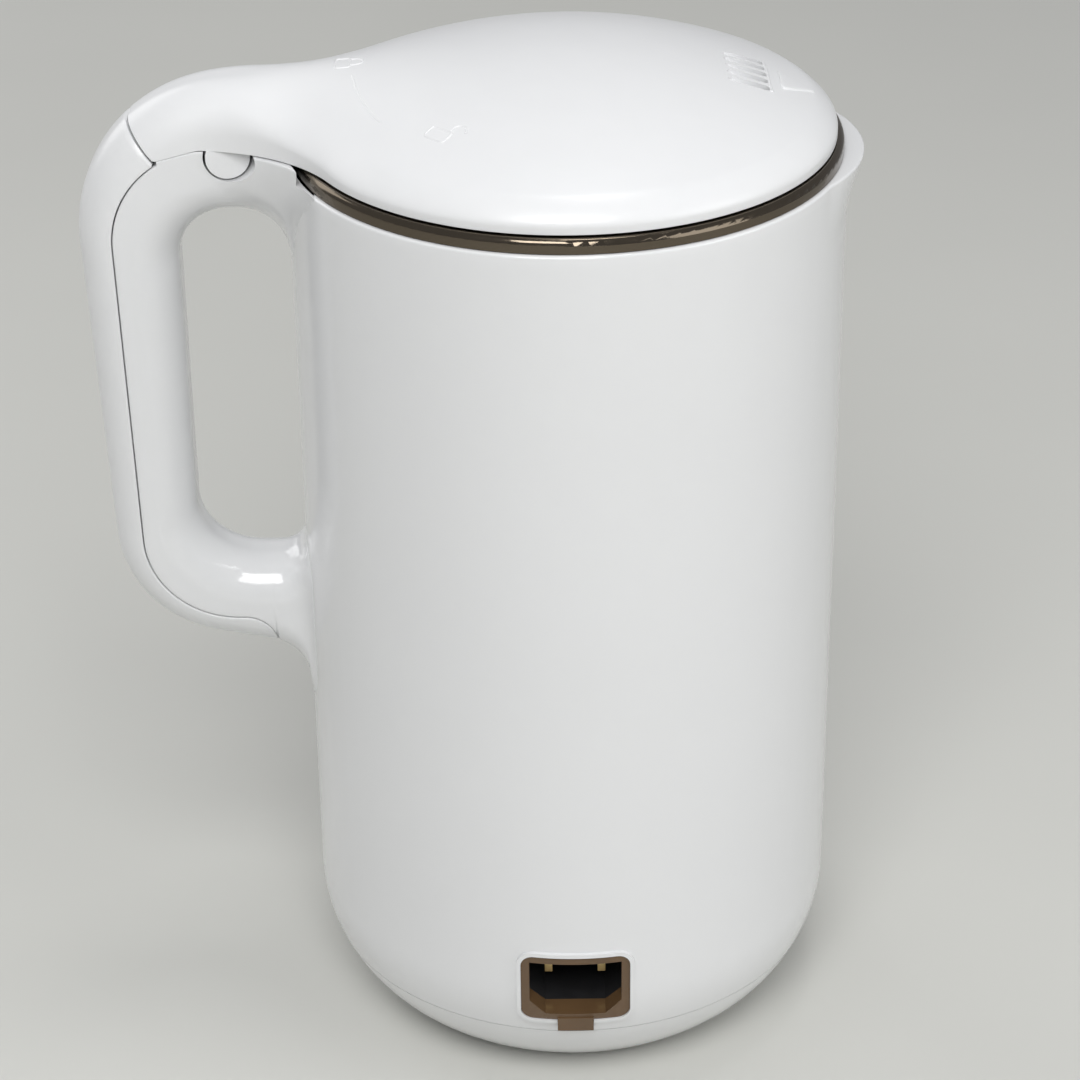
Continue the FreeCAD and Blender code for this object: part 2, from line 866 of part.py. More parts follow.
label(fuse("base_screws_piece", *screws(
    "base_screw", base_head_low, s.chassis_level, base_places, base_head_low,
)), "base_screws")
label(fuse("feet_piece", *[
    rod(f"foot_{index}", s.foot_radius, ZERO, s.stand_height, x, y)
    for index, (x, y) in enumerate(circle_places(s.foot_circle, 4, 45), start=1)
]), "feet")

# Chassis: a ring plate inside the casing that the base screws into, with feet for the boards

chassis_top = s.chassis_level + s.chassis_thickness
chassis_radius = s.casing_radius - s.casing_wall - s.heel_width * 0.2 - s.chassis_gap
chassis_bosses = [
    rod(f"chassis_boss_{index}", s.boss_radius, base_tube_top, s.chassis_level, x, y)
    for index, (x, y) in enumerate(base_places, start=1)
]
chassis_bores = [
    rod(f"chassis_bore_{index}", s.screw_radius + s.screw_fit, ZERO, s.chassis_level, x, y)
    for index, (x, y) in enumerate(base_places, start=1)
]
power_near = s.motor_radius + s.boss_radius * 1.5
power_far = s.casing_radius - s.boss_radius * 4
power_half = s.casing_radius * 0.27
power_level = chassis_top + s.boss_radius
power_posts = []
for end, x in (("near", power_near + s.boss_radius), ("far", power_far - s.boss_radius)):
    for side in (1, -1):
        y = (power_half - s.boss_radius) * side
        power_posts.append(rod(
            f"power_post_{end}_{side + 1}", s.boss_radius * 0.6, s.chassis_level, power_level, x, y,
        ))
label(cut(
    "chassis_piece",
    fuse(
        "chassis_form",
        ring("chassis_plate", s.chassis_bore, chassis_radius, s.chassis_level, chassis_top),
        *chassis_bosses,
        *power_posts,
    ),
    *chassis_bores,
), "chassis")

power_top = power_level + s.board_thickness
relay = box(
    "relay",
    (power_near + s.boss_radius, power_near + s.boss_radius * 4),
    (-s.boss_radius * 3, ZERO),
    (power_top, power_top + s.boss_radius * 3),
)
capacitor_x = power_near + s.boss_radius * 3
capacitor_top = power_top + s.boss_radius * 4
capacitor = rod("capacitor", s.boss_radius * 1.4, power_top, capacitor_top, capacitor_x, power_half / 2)
label(fuse(
    "power_board_piece",
    box("power_plate", (power_near, power_far), (-power_half, power_half), (power_level, power_top)),
    relay,
    capacitor,
), "power_board")

# Pot, its centring ring and the heater under it

pot_top = s.lid_level - s.pot_rim_gap
pot_inner = s.pot_radius - s.pot_wall
rim_bend = s.pot_rim_radius - s.pot_wall
curl = pot_top - s.rim_height
neck = s.rim_height - s.pot_wall
label(spin("pot_piece", [
    (s.seal_body_radius, s.pot_floor),
    (s.pot_radius, s.pot_floor, s.pot_floor_round),
    (s.pot_radius, neck, curl / 4),
    (rim_bend - curl / 2, pot_top - s.pot_wall, s.pot_wall),
    (rim_bend, pot_top - s.pot_wall, s.pot_wall),
    (rim_bend, s.rim_height + s.seam_gap),
    (s.pot_rim_radius, s.rim_height + s.seam_gap),
    (s.pot_rim_radius, pot_top, s.pot_wall * 2),
    (rim_bend - curl / 2, pot_top, s.pot_wall),
    (pot_inner, neck + s.pot_wall, curl / 4),
    (pot_inner, s.pot_floor + s.pot_wall, s.pot_floor_round - s.pot_wall),
    (s.seal_body_radius, s.pot_floor + s.pot_wall),
]), "pot")
ring_top = neck - s.ring_height / 2
label(ring(
    "pot_ring_piece", s.pot_radius + s.ring_gap, s.casing_radius - s.casing_wall - s.ring_gap,
    ring_top - s.ring_height, ring_top,
), "pot_ring")
heater_low = s.pot_floor - s.heater_plate
heater_middle = (s.heater_inner + s.heater_outer) / 2
label(spin("heater_ring_piece", [
    (s.heater_inner, heater_low),
    (heater_middle - s.heater_tube, heater_low),
    (heater_middle - s.heater_tube, heater_low - s.heater_tube * 2, s.heater_tube * 0.9),
    (heater_middle + s.heater_tube, heater_low - s.heater_tube * 2, s.heater_tube * 0.9),
    (heater_middle + s.heater_tube, heater_low),
    (s.heater_outer, heater_low),
    (s.heater_outer, s.pot_floor),
    (s.heater_inner, s.pot_floor),
]), "heater_ring")
probe_x = (s.seal_body_radius + s.heater_inner) / 2
probe_low = s.pot_floor - s.probe_height
label(rod("temperature_sensor_piece", s.probe_radius, probe_low, s.pot_floor, probe_x), "temperature_sensor")
label(rod("thermal_cutout_piece", s.cutout_radius, probe_low, s.pot_floor, -probe_x), "thermal_cutout")

# Motor, hung under the pot by its bracket

motor_top = s.pot_floor - s.motor_drop
motor_low = motor_top - s.motor_length
bracket_top = motor_top + s.chassis_thickness
bracket_radius = s.motor_radius + s.boss_radius * 1.4
post_circle = bracket_radius - s.boss_radius
motor_screw_places = circle_places(s.motor_screw_circle, 2, 90)
bracket_posts = [
    rod(f"bracket_post_{index}", s.boss_radius * 0.8, motor_top, s.pot_floor, x, y)
    for index, (x, y) in enumerate(circle_places(post_circle, 4, 45), start=1)
]
bracket_holes = [
    rod(f"bracket_hole_{index}", s.screw_radius + s.screw_fit, ZERO, TALL, x, y)
    for index, (x, y) in enumerate(motor_screw_places, start=1)
]
label(cut(
    "motor_bracket_piece",
    fuse(
        "motor_bracket_form",
        ring("bracket_plate", s.bush_radius + s.seam_gap, bracket_radius, motor_top, bracket_top),
        *bracket_posts,
    ),
    *bracket_holes,
), "motor_bracket")
can_holes = [
    rod(f"can_hole_{index}", s.screw_radius + s.screw_fit, motor_top - s.motor_wall * 2, TALL, x, y)
    for index, (x, y) in enumerate(motor_screw_places, start=1)
]
label(cut(
    "motor_can_piece",
    cut(
        "motor_can_form",
        ring("motor_can_outside", s.bush_radius, s.motor_radius, motor_low, motor_top),
        ring(
            "motor_can_inside", ZERO, s.motor_radius - s.motor_wall, motor_low + s.motor_wall,
            motor_top - s.motor_wall,
        ),
    ),
    *can_holes,
), "motor_can")
motor_screw_pieces = []
motor_head_top = bracket_top + s.screw_head_height
for index, (x, y) in enumerate(motor_screw_places, start=1):
    motor_screw_pieces.append(fuse(
        f"motor_screw_{index}",
        rod(f"motor_screw_head_{index}", s.screw_head_radius, bracket_top, motor_head_top, x, y),
        rod(f"motor_screw_shank_{index}", s.screw_radius, motor_top - s.motor_wall, bracket_top, x, y),
    ))
label(fuse("motor_screws_piece", *motor_screw_pieces), "motor_screws")

bush_bore = s.shaft_radius + s.shaft_fit
for node, low in (("upper_bush", bracket_top - s.bush_length), ("lower_bush", motor_low)):
    label(ring(f"{node}_piece", bush_bore, s.bush_radius, low, low + s.bush_length), node)
rotor_middle = (motor_low + motor_top) / 2
rotor_low = rotor_middle - s.rotor_length / 2
rotor_high = rotor_middle + s.rotor_length / 2
magnet_inner = s.rotor_radius + s.air_gap
magnet_ring = ring("magnet_ring", magnet_inner, magnet_inner + s.magnet_thickness, rotor_low, rotor_high)
magnet_split = box("magnet_split", (-WIDE, WIDE), (-s.rotor_radius / 3, s.rotor_radius / 3), (ZERO, TALL))
label(cut("motor_magnets_piece", magnet_ring, magnet_split), "motor_magnets")

# Rotor: core, shaft, fan under the motor, blade and nut in the pot

fan_high = motor_low - s.air_gap * 2
fan_low = fan_high - s.fan_height
pot_inside = s.pot_floor + s.pot_wall
flange_top = pot_inside + s.board_thickness
blade_low = flange_top + s.air_gap * 2
blade_high = blade_low + s.blade_thickness
shaft_top = blade_high + s.nut_radius
label(rod("motor_shaft_piece", s.shaft_radius, fan_low, shaft_top), "motor_shaft")
fixed_bore = s.shaft_radius + s.shaft_fit
label(ring("motor_rotor_piece", fixed_bore, s.rotor_radius, rotor_low, rotor_high), "motor_rotor")


def vane(name, near, far, width, low, high, angle, tilt=ZERO):
    """A flat bar that points out from the axis at an angle, tilted about its own length."""
    item = doc.addObject("Part::Box", name)
    bind(item, "Length", far - near)
    bind(item, "Width", width)
    bind(item, "Height", high - low)
    heading = FreeCAD.Rotation(FreeCAD.Vector(0, 0, 1), angle.value)
    pitch = FreeCAD.Rotation(FreeCAD.Vector(1, 0, 0), tilt.value)
    item.Placement = FreeCAD.Placement(FreeCAD.Vector(), heading * pitch)
    half = (high - low) / 2
    side = -width / 2 * cosine(tilt) + half * sine(tilt)
    drop = -width / 2 * sine(tilt) - half * cosine(tilt)
    place(
        item,
        near * cosine(angle) - side * sine(angle),
        near * sine(angle) + side * cosine(angle),
        low + half + drop,
    )
    return item


fan_turn = FULL_TURN / s.fan_blades
fan_near = (s.bush_radius + fixed_bore) / 2
fan_vanes = [
    vane(f"fan_vane_{index}", fan_near, s.fan_radius, s.vane_thickness, fan_low, fan_high, index * fan_turn)
    for index in range(int(s.fan_blades.value))
]
fan_hub = ring("fan_hub", fixed_bore, s.bush_radius, fan_low, fan_high)
label(fuse("cooling_fan_piece", fan_hub, *fan_vanes), "cooling_fan")

wing_turn = FULL_TURN / s.blade_wings
hub_radius = s.blade_width * 0.8
wing_near = s.nut_radius + s.air_gap / 2
wing_tilts = (s.blade_tilt, -s.blade_tilt)
label(fuse("blade_piece", ring("blade_hub", fixed_bore, hub_radius, blade_low, blade_high), *[
    vane(
        f"blade_wing_{index + 1}", wing_near, s.blade_radius, s.blade_width * 0.7,
        blade_low, blade_high, index * wing_turn, wing_tilts[index % 2],
    )
    for index in range(int(s.blade_wings.value))
]), "blade")
label(spin("blade_nut_piece", [
    (fixed_bore, blade_high),
    (s.nut_radius, blade_high),
    (s.nut_radius, shaft_top + s.pot_wall * 2, s.nut_radius * 0.6),
    (ZERO, shaft_top + s.pot_wall * 2),
    (ZERO, shaft_top + s.shaft_fit),
    (fixed_bore, shaft_top + s.shaft_fit),
]), "blade_nut")
seal_bore = s.shaft_radius + s.shaft_fit * 2
label(spin("shaft_seal_piece", [
    (seal_bore, bracket_top + s.air_gap),
    (s.seal_body_radius - s.shaft_fit, bracket_top + s.air_gap),
    (s.seal_body_radius - s.shaft_fit, pot_inside),
    (s.seal_flange_radius, pot_inside),
    (s.seal_flange_radius, flange_top),
    (seal_bore, flange_top),
]), "shaft_seal")

# Mains inlet: white bezel, brown liner, black socket and two pins

def casing_skin(name, proud):
    """The casing's outside as a solid, grown by an amount that a piece stands proud of it."""
    return spin(name, [*heel(-proud), (ZERO, s.window_bottom), (s.casing_radius + proud, s.window_bottom)])


def tab_block(name, fit):
    """The liner's tab below the mouth, which hangs over the bezel, grown by a fit."""
    half = s.inlet_tab_width / 2 + fit
    low = inlet_low - s.liner_wall - s.inlet_tab_drop - fit
    high = inlet_low - s.liner_wall / 2
    front = s.casing_radius + s.inlet_tab_proud + fit
    return inlet_pad(name, [(-half, low), (half, low), (half, high), (-half, high)], -front, -inlet_back)


bezel_block = inlet_pad("bezel_block", inlet_frame(bezel_grow), -WIDE, -inlet_back)
bezel_outside = common("bezel_outside", bezel_block, casing_skin("bezel_skin", s.bezel_proud))
bezel_inside = inlet_pad("bezel_inside", inlet_frame(s.liner_wall + s.inlet_fit), -WIDE, ZERO)
bezel_notch = tab_block("bezel_notch", s.inlet_fit)
label(cut("inlet_bezel_piece", bezel_outside, bezel_inside, bezel_notch), "inlet_bezel")
liner_block = inlet_pad("liner_block", inlet_frame(s.liner_wall), -WIDE, -inlet_back)
liner_ring = common("liner_ring", liner_block, casing_skin("liner_skin", s.liner_proud))
casing_round_inlet = cut("casing_round_inlet", casing_skin("tab_skin", s.inlet_fit), inlet_hole)
liner_tab = cut("liner_tab", tab_block("liner_tab_block", ZERO), casing_round_inlet)
liner_mouth = inlet_pad("liner_mouth", inlet_shape(ZERO), -WIDE, ZERO)
label(cut("inlet_liner_piece", fuse("liner_form", liner_ring, liner_tab), liner_mouth), "inlet_liner")
socket_back = inlet_back - s.inlet_depth
socket_cup = inlet_pad("socket_cup", inlet_frame(s.liner_wall), -inlet_back, -(socket_back - s.liner_wall))
socket_mouth = inlet_pad("socket_mouth", inlet_shape(ZERO), -WIDE, -socket_back)
pin_places = [(s.pin_spacing / 2, "right"), (-s.pin_spacing / 2, "left")]
pin_tail = socket_back - s.liner_wall * 2


def pin_block(name, x, fit):
    """One flat pin of the inlet, with its tail behind the socket, grown by a fit."""
    half = s.pin_width / 2 + fit
    rise = s.pin_tall / 2 + fit
    corners = [(x - half, s.inlet_height - rise), (x + half, s.inlet_height - rise)]
    corners += [(x + half, s.inlet_height + rise), (x - half, s.inlet_height + rise)]
    return inlet_pad(name, corners, -(socket_back + s.pin_length), -pin_tail)


label(cut("inlet_socket_piece", socket_cup, socket_mouth, *[
    pin_block(f"pin_slot_{side}", x, s.shaft_fit) for x, side in pin_places
]), "inlet_socket")
label(fuse("inlet_pins_piece", *[pin_block(f"pin_{side}", x, ZERO) for x, side in pin_places]), "inlet_pins")

# Control panel on the far side, with two buttons, light pipes and the board behind them

board_back = button_back - s.button_travel - s.casing_wall * 2
board_front = board_back + s.board_thickness
panel_form = common(
    "panel_form",
    panel_block("panel_plate", s.seam_gap, panel_floor),
    rod("panel_outside", s.casing_radius, ZERO, TALL),
)
label(cut("control_panel_piece", panel_form, panel_holes), "control_panel")
button_head = s.casing_radius - s.panel_thickness / 2
for name, x in button_places.items():
    label(rod_along_y(f"{name}_piece", s.button_radius, button_back, button_head, x, button_z), name)
label(fuse("indicator_lenses_piece", *[
    rod_along_y(f"lens_{index}", s.lens_radius, board_front, s.casing_radius - s.panel_thickness, x, lens_z)
    for index, x in enumerate(lens_places, start=1)
]), "indicator_lenses")
switch_front = button_back - s.button_travel - s.button_gap
board_half = s.panel_width / 2
switches = [
    rod_along_y(f"{name}_switch", s.button_radius / 2, board_back, switch_front, x, button_z)
    for name, x in button_places.items()
]
label(fuse(
    "control_board_piece",
    box("control_plate", (-board_half, board_half), (board_back, board_front), (chassis_top, panel_high)),
    *switches,
), "control_board")

# Lid sensor board in the handle's top arm

sensor_floor = s.window_top + s.handle_wall
sensor_half = s.boss_radius
label(box(
    "lid_sensor_board_piece",
    (-s.key_orbit - sensor_half * 2, -s.key_orbit + sensor_half * 2),
    (-sensor_half, sensor_half),
    (sensor_floor, sensor_floor + s.board_thickness),
), "lid_sensor_board")

# Lid

shoulder_height = s.lid_level + s.lid_shoulder_rise
apex_height = s.lid_level + s.lid_apex
side_top = s.lid_level + s.lid_side


def dome(name, inset, low):
    """A domed lid, solid, with its outside moved inwards by an inset, down to a level."""
    edge = s.lid_radius - inset
    shoulder = s.lid_shoulder_radius - inset / 2
    height = shoulder_height - inset
    apex = apex_height - inset
    rise = apex - height
    bow = (shoulder * shoulder + rise * rise) / (2 * rise)
    across = edge - shoulder
    up = height - side_top
    roll = (across * across + up * up) / (2 * across)
    return spin(name, [
        (ZERO, low),
        (edge, low),
        (edge, side_top),
        Bow(roll, 1),
        (shoulder, height),
        Bow(bow, 1),
        (ZERO, apex),
    ])


tongue = common("tongue", fuse(
    "tongue_form",
    loop,
    flare("lid_flare", s.lid_level, s.crest_height),
), lid_form)
tongue_far = s.tongue_reach - s.handle_wall * 2
tongue_half = s.tongue_cavity_width / 2
tongue_cavity = box(
    "tongue_cavity",
    (-tongue_far, -s.lid_shoulder_radius * 0.9),
    (-tongue_half, tongue_half),
    (s.lid_level - s.tongue_drop * 2, s.lid_level + s.tongue_cavity_height),
)
vent_slots = []
for index in range(int(s.vent_slots.value)):
    slot_y = s.slot_pitch * (index - (s.vent_slots - 1) / 2)
    vent_slots.append(box(
        f"vent_slot_{index + 1}",
        (s.vent_place - s.slot_length / 2, s.vent_place + s.slot_length / 2),
        (slot_y - s.slot_width / 2, slot_y + s.slot_width / 2),
        (s.lid_level, TALL),
    ))
plate_top = s.lid_level + s.plate_thickness
plate_radius = s.lid_radius - s.lid_wall - s.lid_gap
plug_low = s.lid_level - s.plug_depth
plug_wall = s.plate_thickness
plug_floor = plug_low + plug_wall
lid_screw_places = circle_places(s.lid_screw_circle, int(s.lid_screw_count.value), 60)
lid_boss_limit = dome("lid_boss_limit", s.lid_wall / 2, ZERO)
lid_bosses = common("lid_bosses", lid_boss_limit, fuse("lid_boss_rods", *[
    rod(f"lid_boss_{index}", s.boss_radius, plug_floor, TALL, x, y)
    for index, (x, y) in enumerate(lid_screw_places, start=1)
]))
lid_screw_bore = fuse("lid_screw_bore", *[
    rod(f"lid_screw_bore_{index}", s.screw_radius + s.screw_fit, ZERO, plug_floor + s.screw_bite, x, y)
    for index, (x, y) in enumerate(lid_screw_places, start=1)
])
lid_shell = cut(
    "lid_shell",
    fuse("lid_solid", dome("lid_outside", ZERO, s.lid_level), tongue),
    dome("lid_inside", s.lid_wall, s.lid_level),
    tongue_cavity,
    *vent_slots,
)
label(cut("lid_cover_piece", fuse("lid_cover_form", lid_shell, lid_bosses), lid_screw_bore), "lid_cover")
label(fuse("lid_screws_piece", *screws(
    "lid_screw", plug_low, plug_floor + s.screw_bite, lid_screw_places, plug_low - s.screw_head_height,
)), "lid_screws")
hat = spin("hat", [
    (ZERO, plug_low),
    (s.plug_radius, plug_low),
    (s.plug_radius, s.lid_level),
    (plate_radius, s.lid_level),
    (plate_radius, plate_top),
    (s.plug_radius - plug_wall, plate_top),
    (s.plug_radius - plug_wall, plug_floor),
    (ZERO, plug_floor),
])
strip = box(
    "strip",
    (-(tongue_far - s.lid_gap), -(s.plug_radius - plug_wall / 2)),
    (-(tongue_half - s.lid_gap), tongue_half - s.lid_gap),
    (s.lid_level, plate_top),
)
key = half_round("key", s.key_orbit, s.key_radius, key_rear, key_front)
key_bar = common("key_bar", key, rod("key_top", WIDE, ZERO, s.lid_level))
magnet_radius = s.key_radius * 0.5
magnet_low = key_level - s.key_radius * 0.4
magnet_room = rod("magnet_room", magnet_radius + s.shaft_fit, magnet_low, TALL, -s.key_orbit)
vent_bore = rod("vent_bore", s.slot_pitch, ZERO, TALL, s.vent_place)
lid_plate_form = fuse("lid_plate_form", hat, strip, key_bar)
label(cut("lid_plate_piece", lid_plate_form, magnet_room, vent_bore, lid_screw_bore), "lid_plate")
label(rod("lid_magnet_piece", magnet_radius, magnet_low, plate_top, -s.key_orbit), "lid_magnet")

seal_inner = s.plug_radius + s.seal_gap
seal_outer = pot_inner - s.seal_gap
seal_low = plug_low + s.plate_thickness
label(ring("lid_seal_piece", seal_inner, seal_outer, seal_low, seal_low + s.seal_height), "lid_seal")

# Writing the pieces

doc.recompute()
for item in doc.Objects:
    if {"Invalid", "Error"} & set(item.State):
        raise RuntimeError(f"{item.Name} failed: {item.State}")
for node, item in PIECES.items():
    if item.Shape.isNull() or not item.Shape.isValid() or not item.Shape.Solids:
        raise RuntimeError(f"{node} has no valid solid")
os.makedirs("parts", exist_ok=True)
for node, item in PIECES.items():
    item.Shape.exportStep(f"parts/{node}.step")
    print(node, len(item.Shape.Solids), round(item.Shape.Volume, 1))
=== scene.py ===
import json
import math
from dataclasses import dataclass

import bmesh
import bpy
import numpy as np
from mathutils import Matrix, Vector


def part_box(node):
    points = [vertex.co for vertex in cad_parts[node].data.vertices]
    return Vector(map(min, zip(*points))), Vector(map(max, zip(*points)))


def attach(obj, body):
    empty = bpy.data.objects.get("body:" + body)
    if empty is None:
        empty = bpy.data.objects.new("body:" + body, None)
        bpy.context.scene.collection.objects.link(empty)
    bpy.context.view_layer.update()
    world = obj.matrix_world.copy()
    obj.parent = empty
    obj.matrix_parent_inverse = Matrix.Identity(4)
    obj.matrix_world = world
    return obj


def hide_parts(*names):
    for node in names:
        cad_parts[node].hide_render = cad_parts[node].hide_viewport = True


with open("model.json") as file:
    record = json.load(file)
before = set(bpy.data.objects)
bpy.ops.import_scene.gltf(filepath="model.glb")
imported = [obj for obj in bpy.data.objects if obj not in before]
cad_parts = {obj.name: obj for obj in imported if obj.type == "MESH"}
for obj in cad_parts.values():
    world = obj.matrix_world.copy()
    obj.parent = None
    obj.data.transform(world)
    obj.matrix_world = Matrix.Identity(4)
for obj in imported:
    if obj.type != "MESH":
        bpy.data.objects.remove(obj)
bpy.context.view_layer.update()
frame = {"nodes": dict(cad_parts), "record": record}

bl_info = {
    "name": "Soup maker dress",
    "version": (1, 0, 0),
    "blender": (4, 5, 0),
    "location": "View3D > Sidebar > Soup maker",
    "description": "Builds the looks of a jug-shaped electric soup maker on its packed frame",
    "category": "Object",
}

# The origin is on the casing's axis at the floor. +Z is up, -X is the handle, -Y is the mains inlet.

MM = 0.001
SMOOTH_LIMIT = math.radians(32.0)
# Points closer than this are one point, and edges shorter than this are no edge
MERGE_DISTANCE = 1e-7
EDGE_LIMIT = 1e-8
# Lines whose cross product is smaller than this are parallel, and a crossing may lie this share past an end
PARALLEL_LIMIT = 1e-15
END_SLACK = 1e-9


# Sizes and colours that a user would change

def length(label, about, millimetres):
    """A length property, written in millimetres and kept in metres."""
    return bpy.props.FloatProperty(
        name=label, description=about, default=millimetres * MM, unit="LENGTH", precision=4,
    )


def angle(label, about, degrees):
    """An angle property, written in degrees and kept in radians."""
    return bpy.props.FloatProperty(
        name=label, description=about, default=math.radians(degrees), subtype="ANGLE",
    )


def colour(label, about, value):
    """A colour property in linear red, green and blue."""
    return bpy.props.FloatVectorProperty(
        name=label, description=about, default=value, size=3, min=0.0, max=1.0, subtype="COLOR",
    )


class CasingSizes(bpy.types.PropertyGroup):
    """Sizes of the casing's wall, heel and pouring lip."""

    radius: length("Radius", "Outside radius of the casing", 70.0)
    wall: length("Wall", "Thickness of the casing's wall", 2.5)
    rim_height: length("Rim height", "Height of the casing's upper rim", 247.0)
    rim_round: length("Rim rounding", "Rounding of the rim's outer edge", 0.7)
    stand_height: length("Stand height", "Height of the casing's bottom above the floor", 1.5)
    heel_width: length("Heel width", "How far the heel runs in from the side", 19.2)
    heel_height: length("Heel height", "How far the heel runs up from the bottom", 16.1)
    heel_upper_round: length("Heel upper rounding", "Rounding where the side turns into the heel", 41.0)
    heel_lower_round: length("Heel lower rounding", "Rounding where the heel turns into the bottom", 14.0)
    lip_reach: length("Lip reach", "How far the pouring lip stands out of the wall", 4.4)
    lip_radius: length("Lip radius", "Radius of the pouring lip's outline at the rim", 43.0)
    lip_turn: angle("Lip turn", "Turn of the pouring lip about the axis, from +X", -2.0)
    lip_depth: length("Lip depth", "How far the pouring lip runs down the wall", 15.0)
    lip_blend: length("Lip blend", "Softness of the joint between the lip and the wall", 1.2)
    inlet_height: length("Inlet height", "Height of the mains inlet's middle", 37.6)
    inlet_half_width: length("Inlet half width", "Half width of the hole behind the inlet's liner", 13.3)
    inlet_half_tall: length("Inlet half height", "Half height of the hole behind the inlet's liner", 9.4)
    panel_low: length("Panel low edge", "Height of the control panel's lower edge", 36.0)
    panel_high: length("Panel high edge", "Height of the control panel's upper edge", 88.0)
    panel_half_width: length("Panel half width", "Half of the control panel's width", 20.0)


class HandleSizes(bpy.types.PropertyGroup):
    """Sizes of the loop handle and of the line that parts its cover from it."""

    width: length("Width", "Width of the handle from side to side", 26.0)
    side_round: length("Side rounding", "Rounding of the handle's long edges", 11.0)
    reach: length("Reach", "Distance from the axis to the handle's upper outer corner", 124.7)
    foot_reach: length("Foot reach", "Distance from the axis to the handle's lower outer corner", 118.8)
    inner_reach: length("Inner reach", "Distance from the axis to the grip's inner side", 98.1)
    crest_height: length("Crest height", "Height of the handle's upper outer corner", 263.0)
    crest_rise: length("Crest rise", "Rise of the crest line from that corner to the lid's dome", 8.0)
    crest_end: length("Crest end", "Distance from the axis where the crest line runs into the dome", 28.0)
    upper_round: length("Upper rounding", "Rounding of the upper outer corner", 41.0)
    lower_round: length("Lower rounding", "Rounding of the lower outer corner", 31.5)
    underside_height: length("Underside height", "Height of the lower outer corner", 115.0)
    underside_fall: length("Underside fall", "Fall of the underside from that corner to the casing", 9.8)
    window_top: length("Window top", "Height of the finger window's upper side", 232.5)
    window_bottom: length("Window bottom", "Height of the finger window's lower side", 132.7)
    window_round: length("Window rounding", "Rounding of the window's upper outer corner", 13.5)
    window_low_round: length("Window lower rounding", "Rounding of the window's lower outer corner", 16.0)
    root_top_round: length("Root top rounding", "Rounding of the upper arm into the casing", 13.5)
    root_bottom_round: length("Root bottom rounding", "Rounding of the lower arm's top into the casing", 8.0)
    root_under_round: length("Root under rounding", "Rounding of its underside into the casing", 14.0)
    root_spread: length("Root spread", "Sideways rounding of the arms into the casing", 7.0)
    root_line: length("Root line", "Distance from the axis where the arms end, inside the wall", 69.4)
    root_step: length("Root step", "Gap from the casing's side to the arm above the rim", 1.0)
    flare_start: length("Flare start", "Distance from the axis where the upper arm starts to spread", 94.0)
    parting_reach: length("Parting reach", "Distance from the axis to the line's upper corner", 114.6)
    parting_foot: length("Parting foot", "Distance from the axis to the line's lower corner", 111.5)
    parting_height: length("Parting height", "Height of the parting line's lower run", 118.0)
    parting_upper_round: length("Parting upper rounding", "Rounding of the line's upper corner", 26.0)
    parting_lower_round: length("Parting lower rounding", "Rounding of the line's lower corner", 24.0)
    parting_end_round: length("Parting end rounding", "Rounding of the line at the cover's end", 8.0)
    cover_end: length("Cover end", "Distance from the axis to the cover's lower end", 78.3)
    seam_gap: length("Seam gap", "Gap between the cover and the grip", 0.3)
    seam_round: length("Seam rounding", "Rounding of the edges along the seam", 0.45)


class LidSizes(bpy.types.PropertyGroup):
    """Sizes of the domed lid, its tongue, vent and marks."""

    level: length("Level", "Height of the lid's lower edge", 251.3)
    radius: length("Radius", "Radius of the lid's dome at its edge", 67.1)
    apex: length("Apex", "Height of the dome's top", 272.0)
    shoulder_radius: length("Shoulder radius", "Radius where the dome turns into its edge", 61.0)
    shoulder_height: length("Shoulder height", "Height where the dome turns into its edge", 259.0)
    side: length("Side", "Height of the dome's upright edge", 1.5)
    wall: length("Wall", "Thickness of the lid's shell", 2.4)
    gap: length("Gap", "Gap between the lid and the handle", 0.4)
    tongue_bend: length("Tongue bend", "Distance from the axis where its underside bends down", 92.0)
    tongue_reach: length("Tongue reach", "Distance from the axis to the tongue's lower end", 102.2)
    tongue_drop: length("Tongue drop", "Drop of the tongue's underside at its end", 2.8)
    tongue_lean: angle("Tongue lean", "Lean of the tongue's end face over the handle", 38.0)
    web: length("Web", "Height of the low web beside the tongue above the lid's edge", 2.2)
    blend: length("Blend", "Softness of the joint between the dome and that web", 5.0)
    bar_end: length("Bar end", "Distance from the axis where the tongue starts to turn into a bell", 84.0)
    bell_start: length("Bell start", "Distance from the axis where the tongue is a bell", 50.0)
    crest_fade: length("Crest fade", "Distance from the axis where the crest starts to sink", 45.0)
    crest_stop: length("Crest stop", "Distance from the axis where the crest has sunk", 5.0)
    roll_fade: length("Roll fade", "Distance from the axis where the rolled edge starts to fade", 50.0)
    roll_stop: length("Roll stop", "Distance from the axis where the edge isn't rolled any more", 80.0)
    least_side: length("Least side", "Least height of the lid's side", 0.3)
    key_orbit: length("Key orbit", "Distance from the axis to the half-round key", 84.6)
    key_radius: length("Key radius", "Radius of the half-round key", 5.5)
    key_sink: length("Key sink", "Depth of the key's middle below the lid's edge", 2.0)
    key_slack: length("Key slack", "Room round the key in its channel", 0.6)
    vent_place: length("Vent place", "Distance from the axis to the vent's middle", 44.4)
    vent_turn: angle("Vent turn", "Turn of the vent and its triangle about the axis, from +X", 2.0)
    slot_length: length("Slot length", "Length of one vent slot", 10.5)
    slot_width: length("Slot width", "Width of one vent slot", 2.8)
    slot_pitch: length("Slot pitch", "Distance between vent slots", 4.4)
    slot_count: bpy.props.IntProperty(name="Slots", description="Number of vent slots", default=5, min=1)
    slot_depth: length("Slot depth", "Depth of a vent slot at its shallow end", 0.6)
    slot_fall: length("Slot fall", "How much deeper a vent slot is at its other end", 4.0)
    vent_roof: length("Vent roof", "Thickness of the lid over the room under the slots' deep ends", 0.7)
    vent_room: length("Vent room", "Depth of that room's bottom under the lid's outside", 5.0)


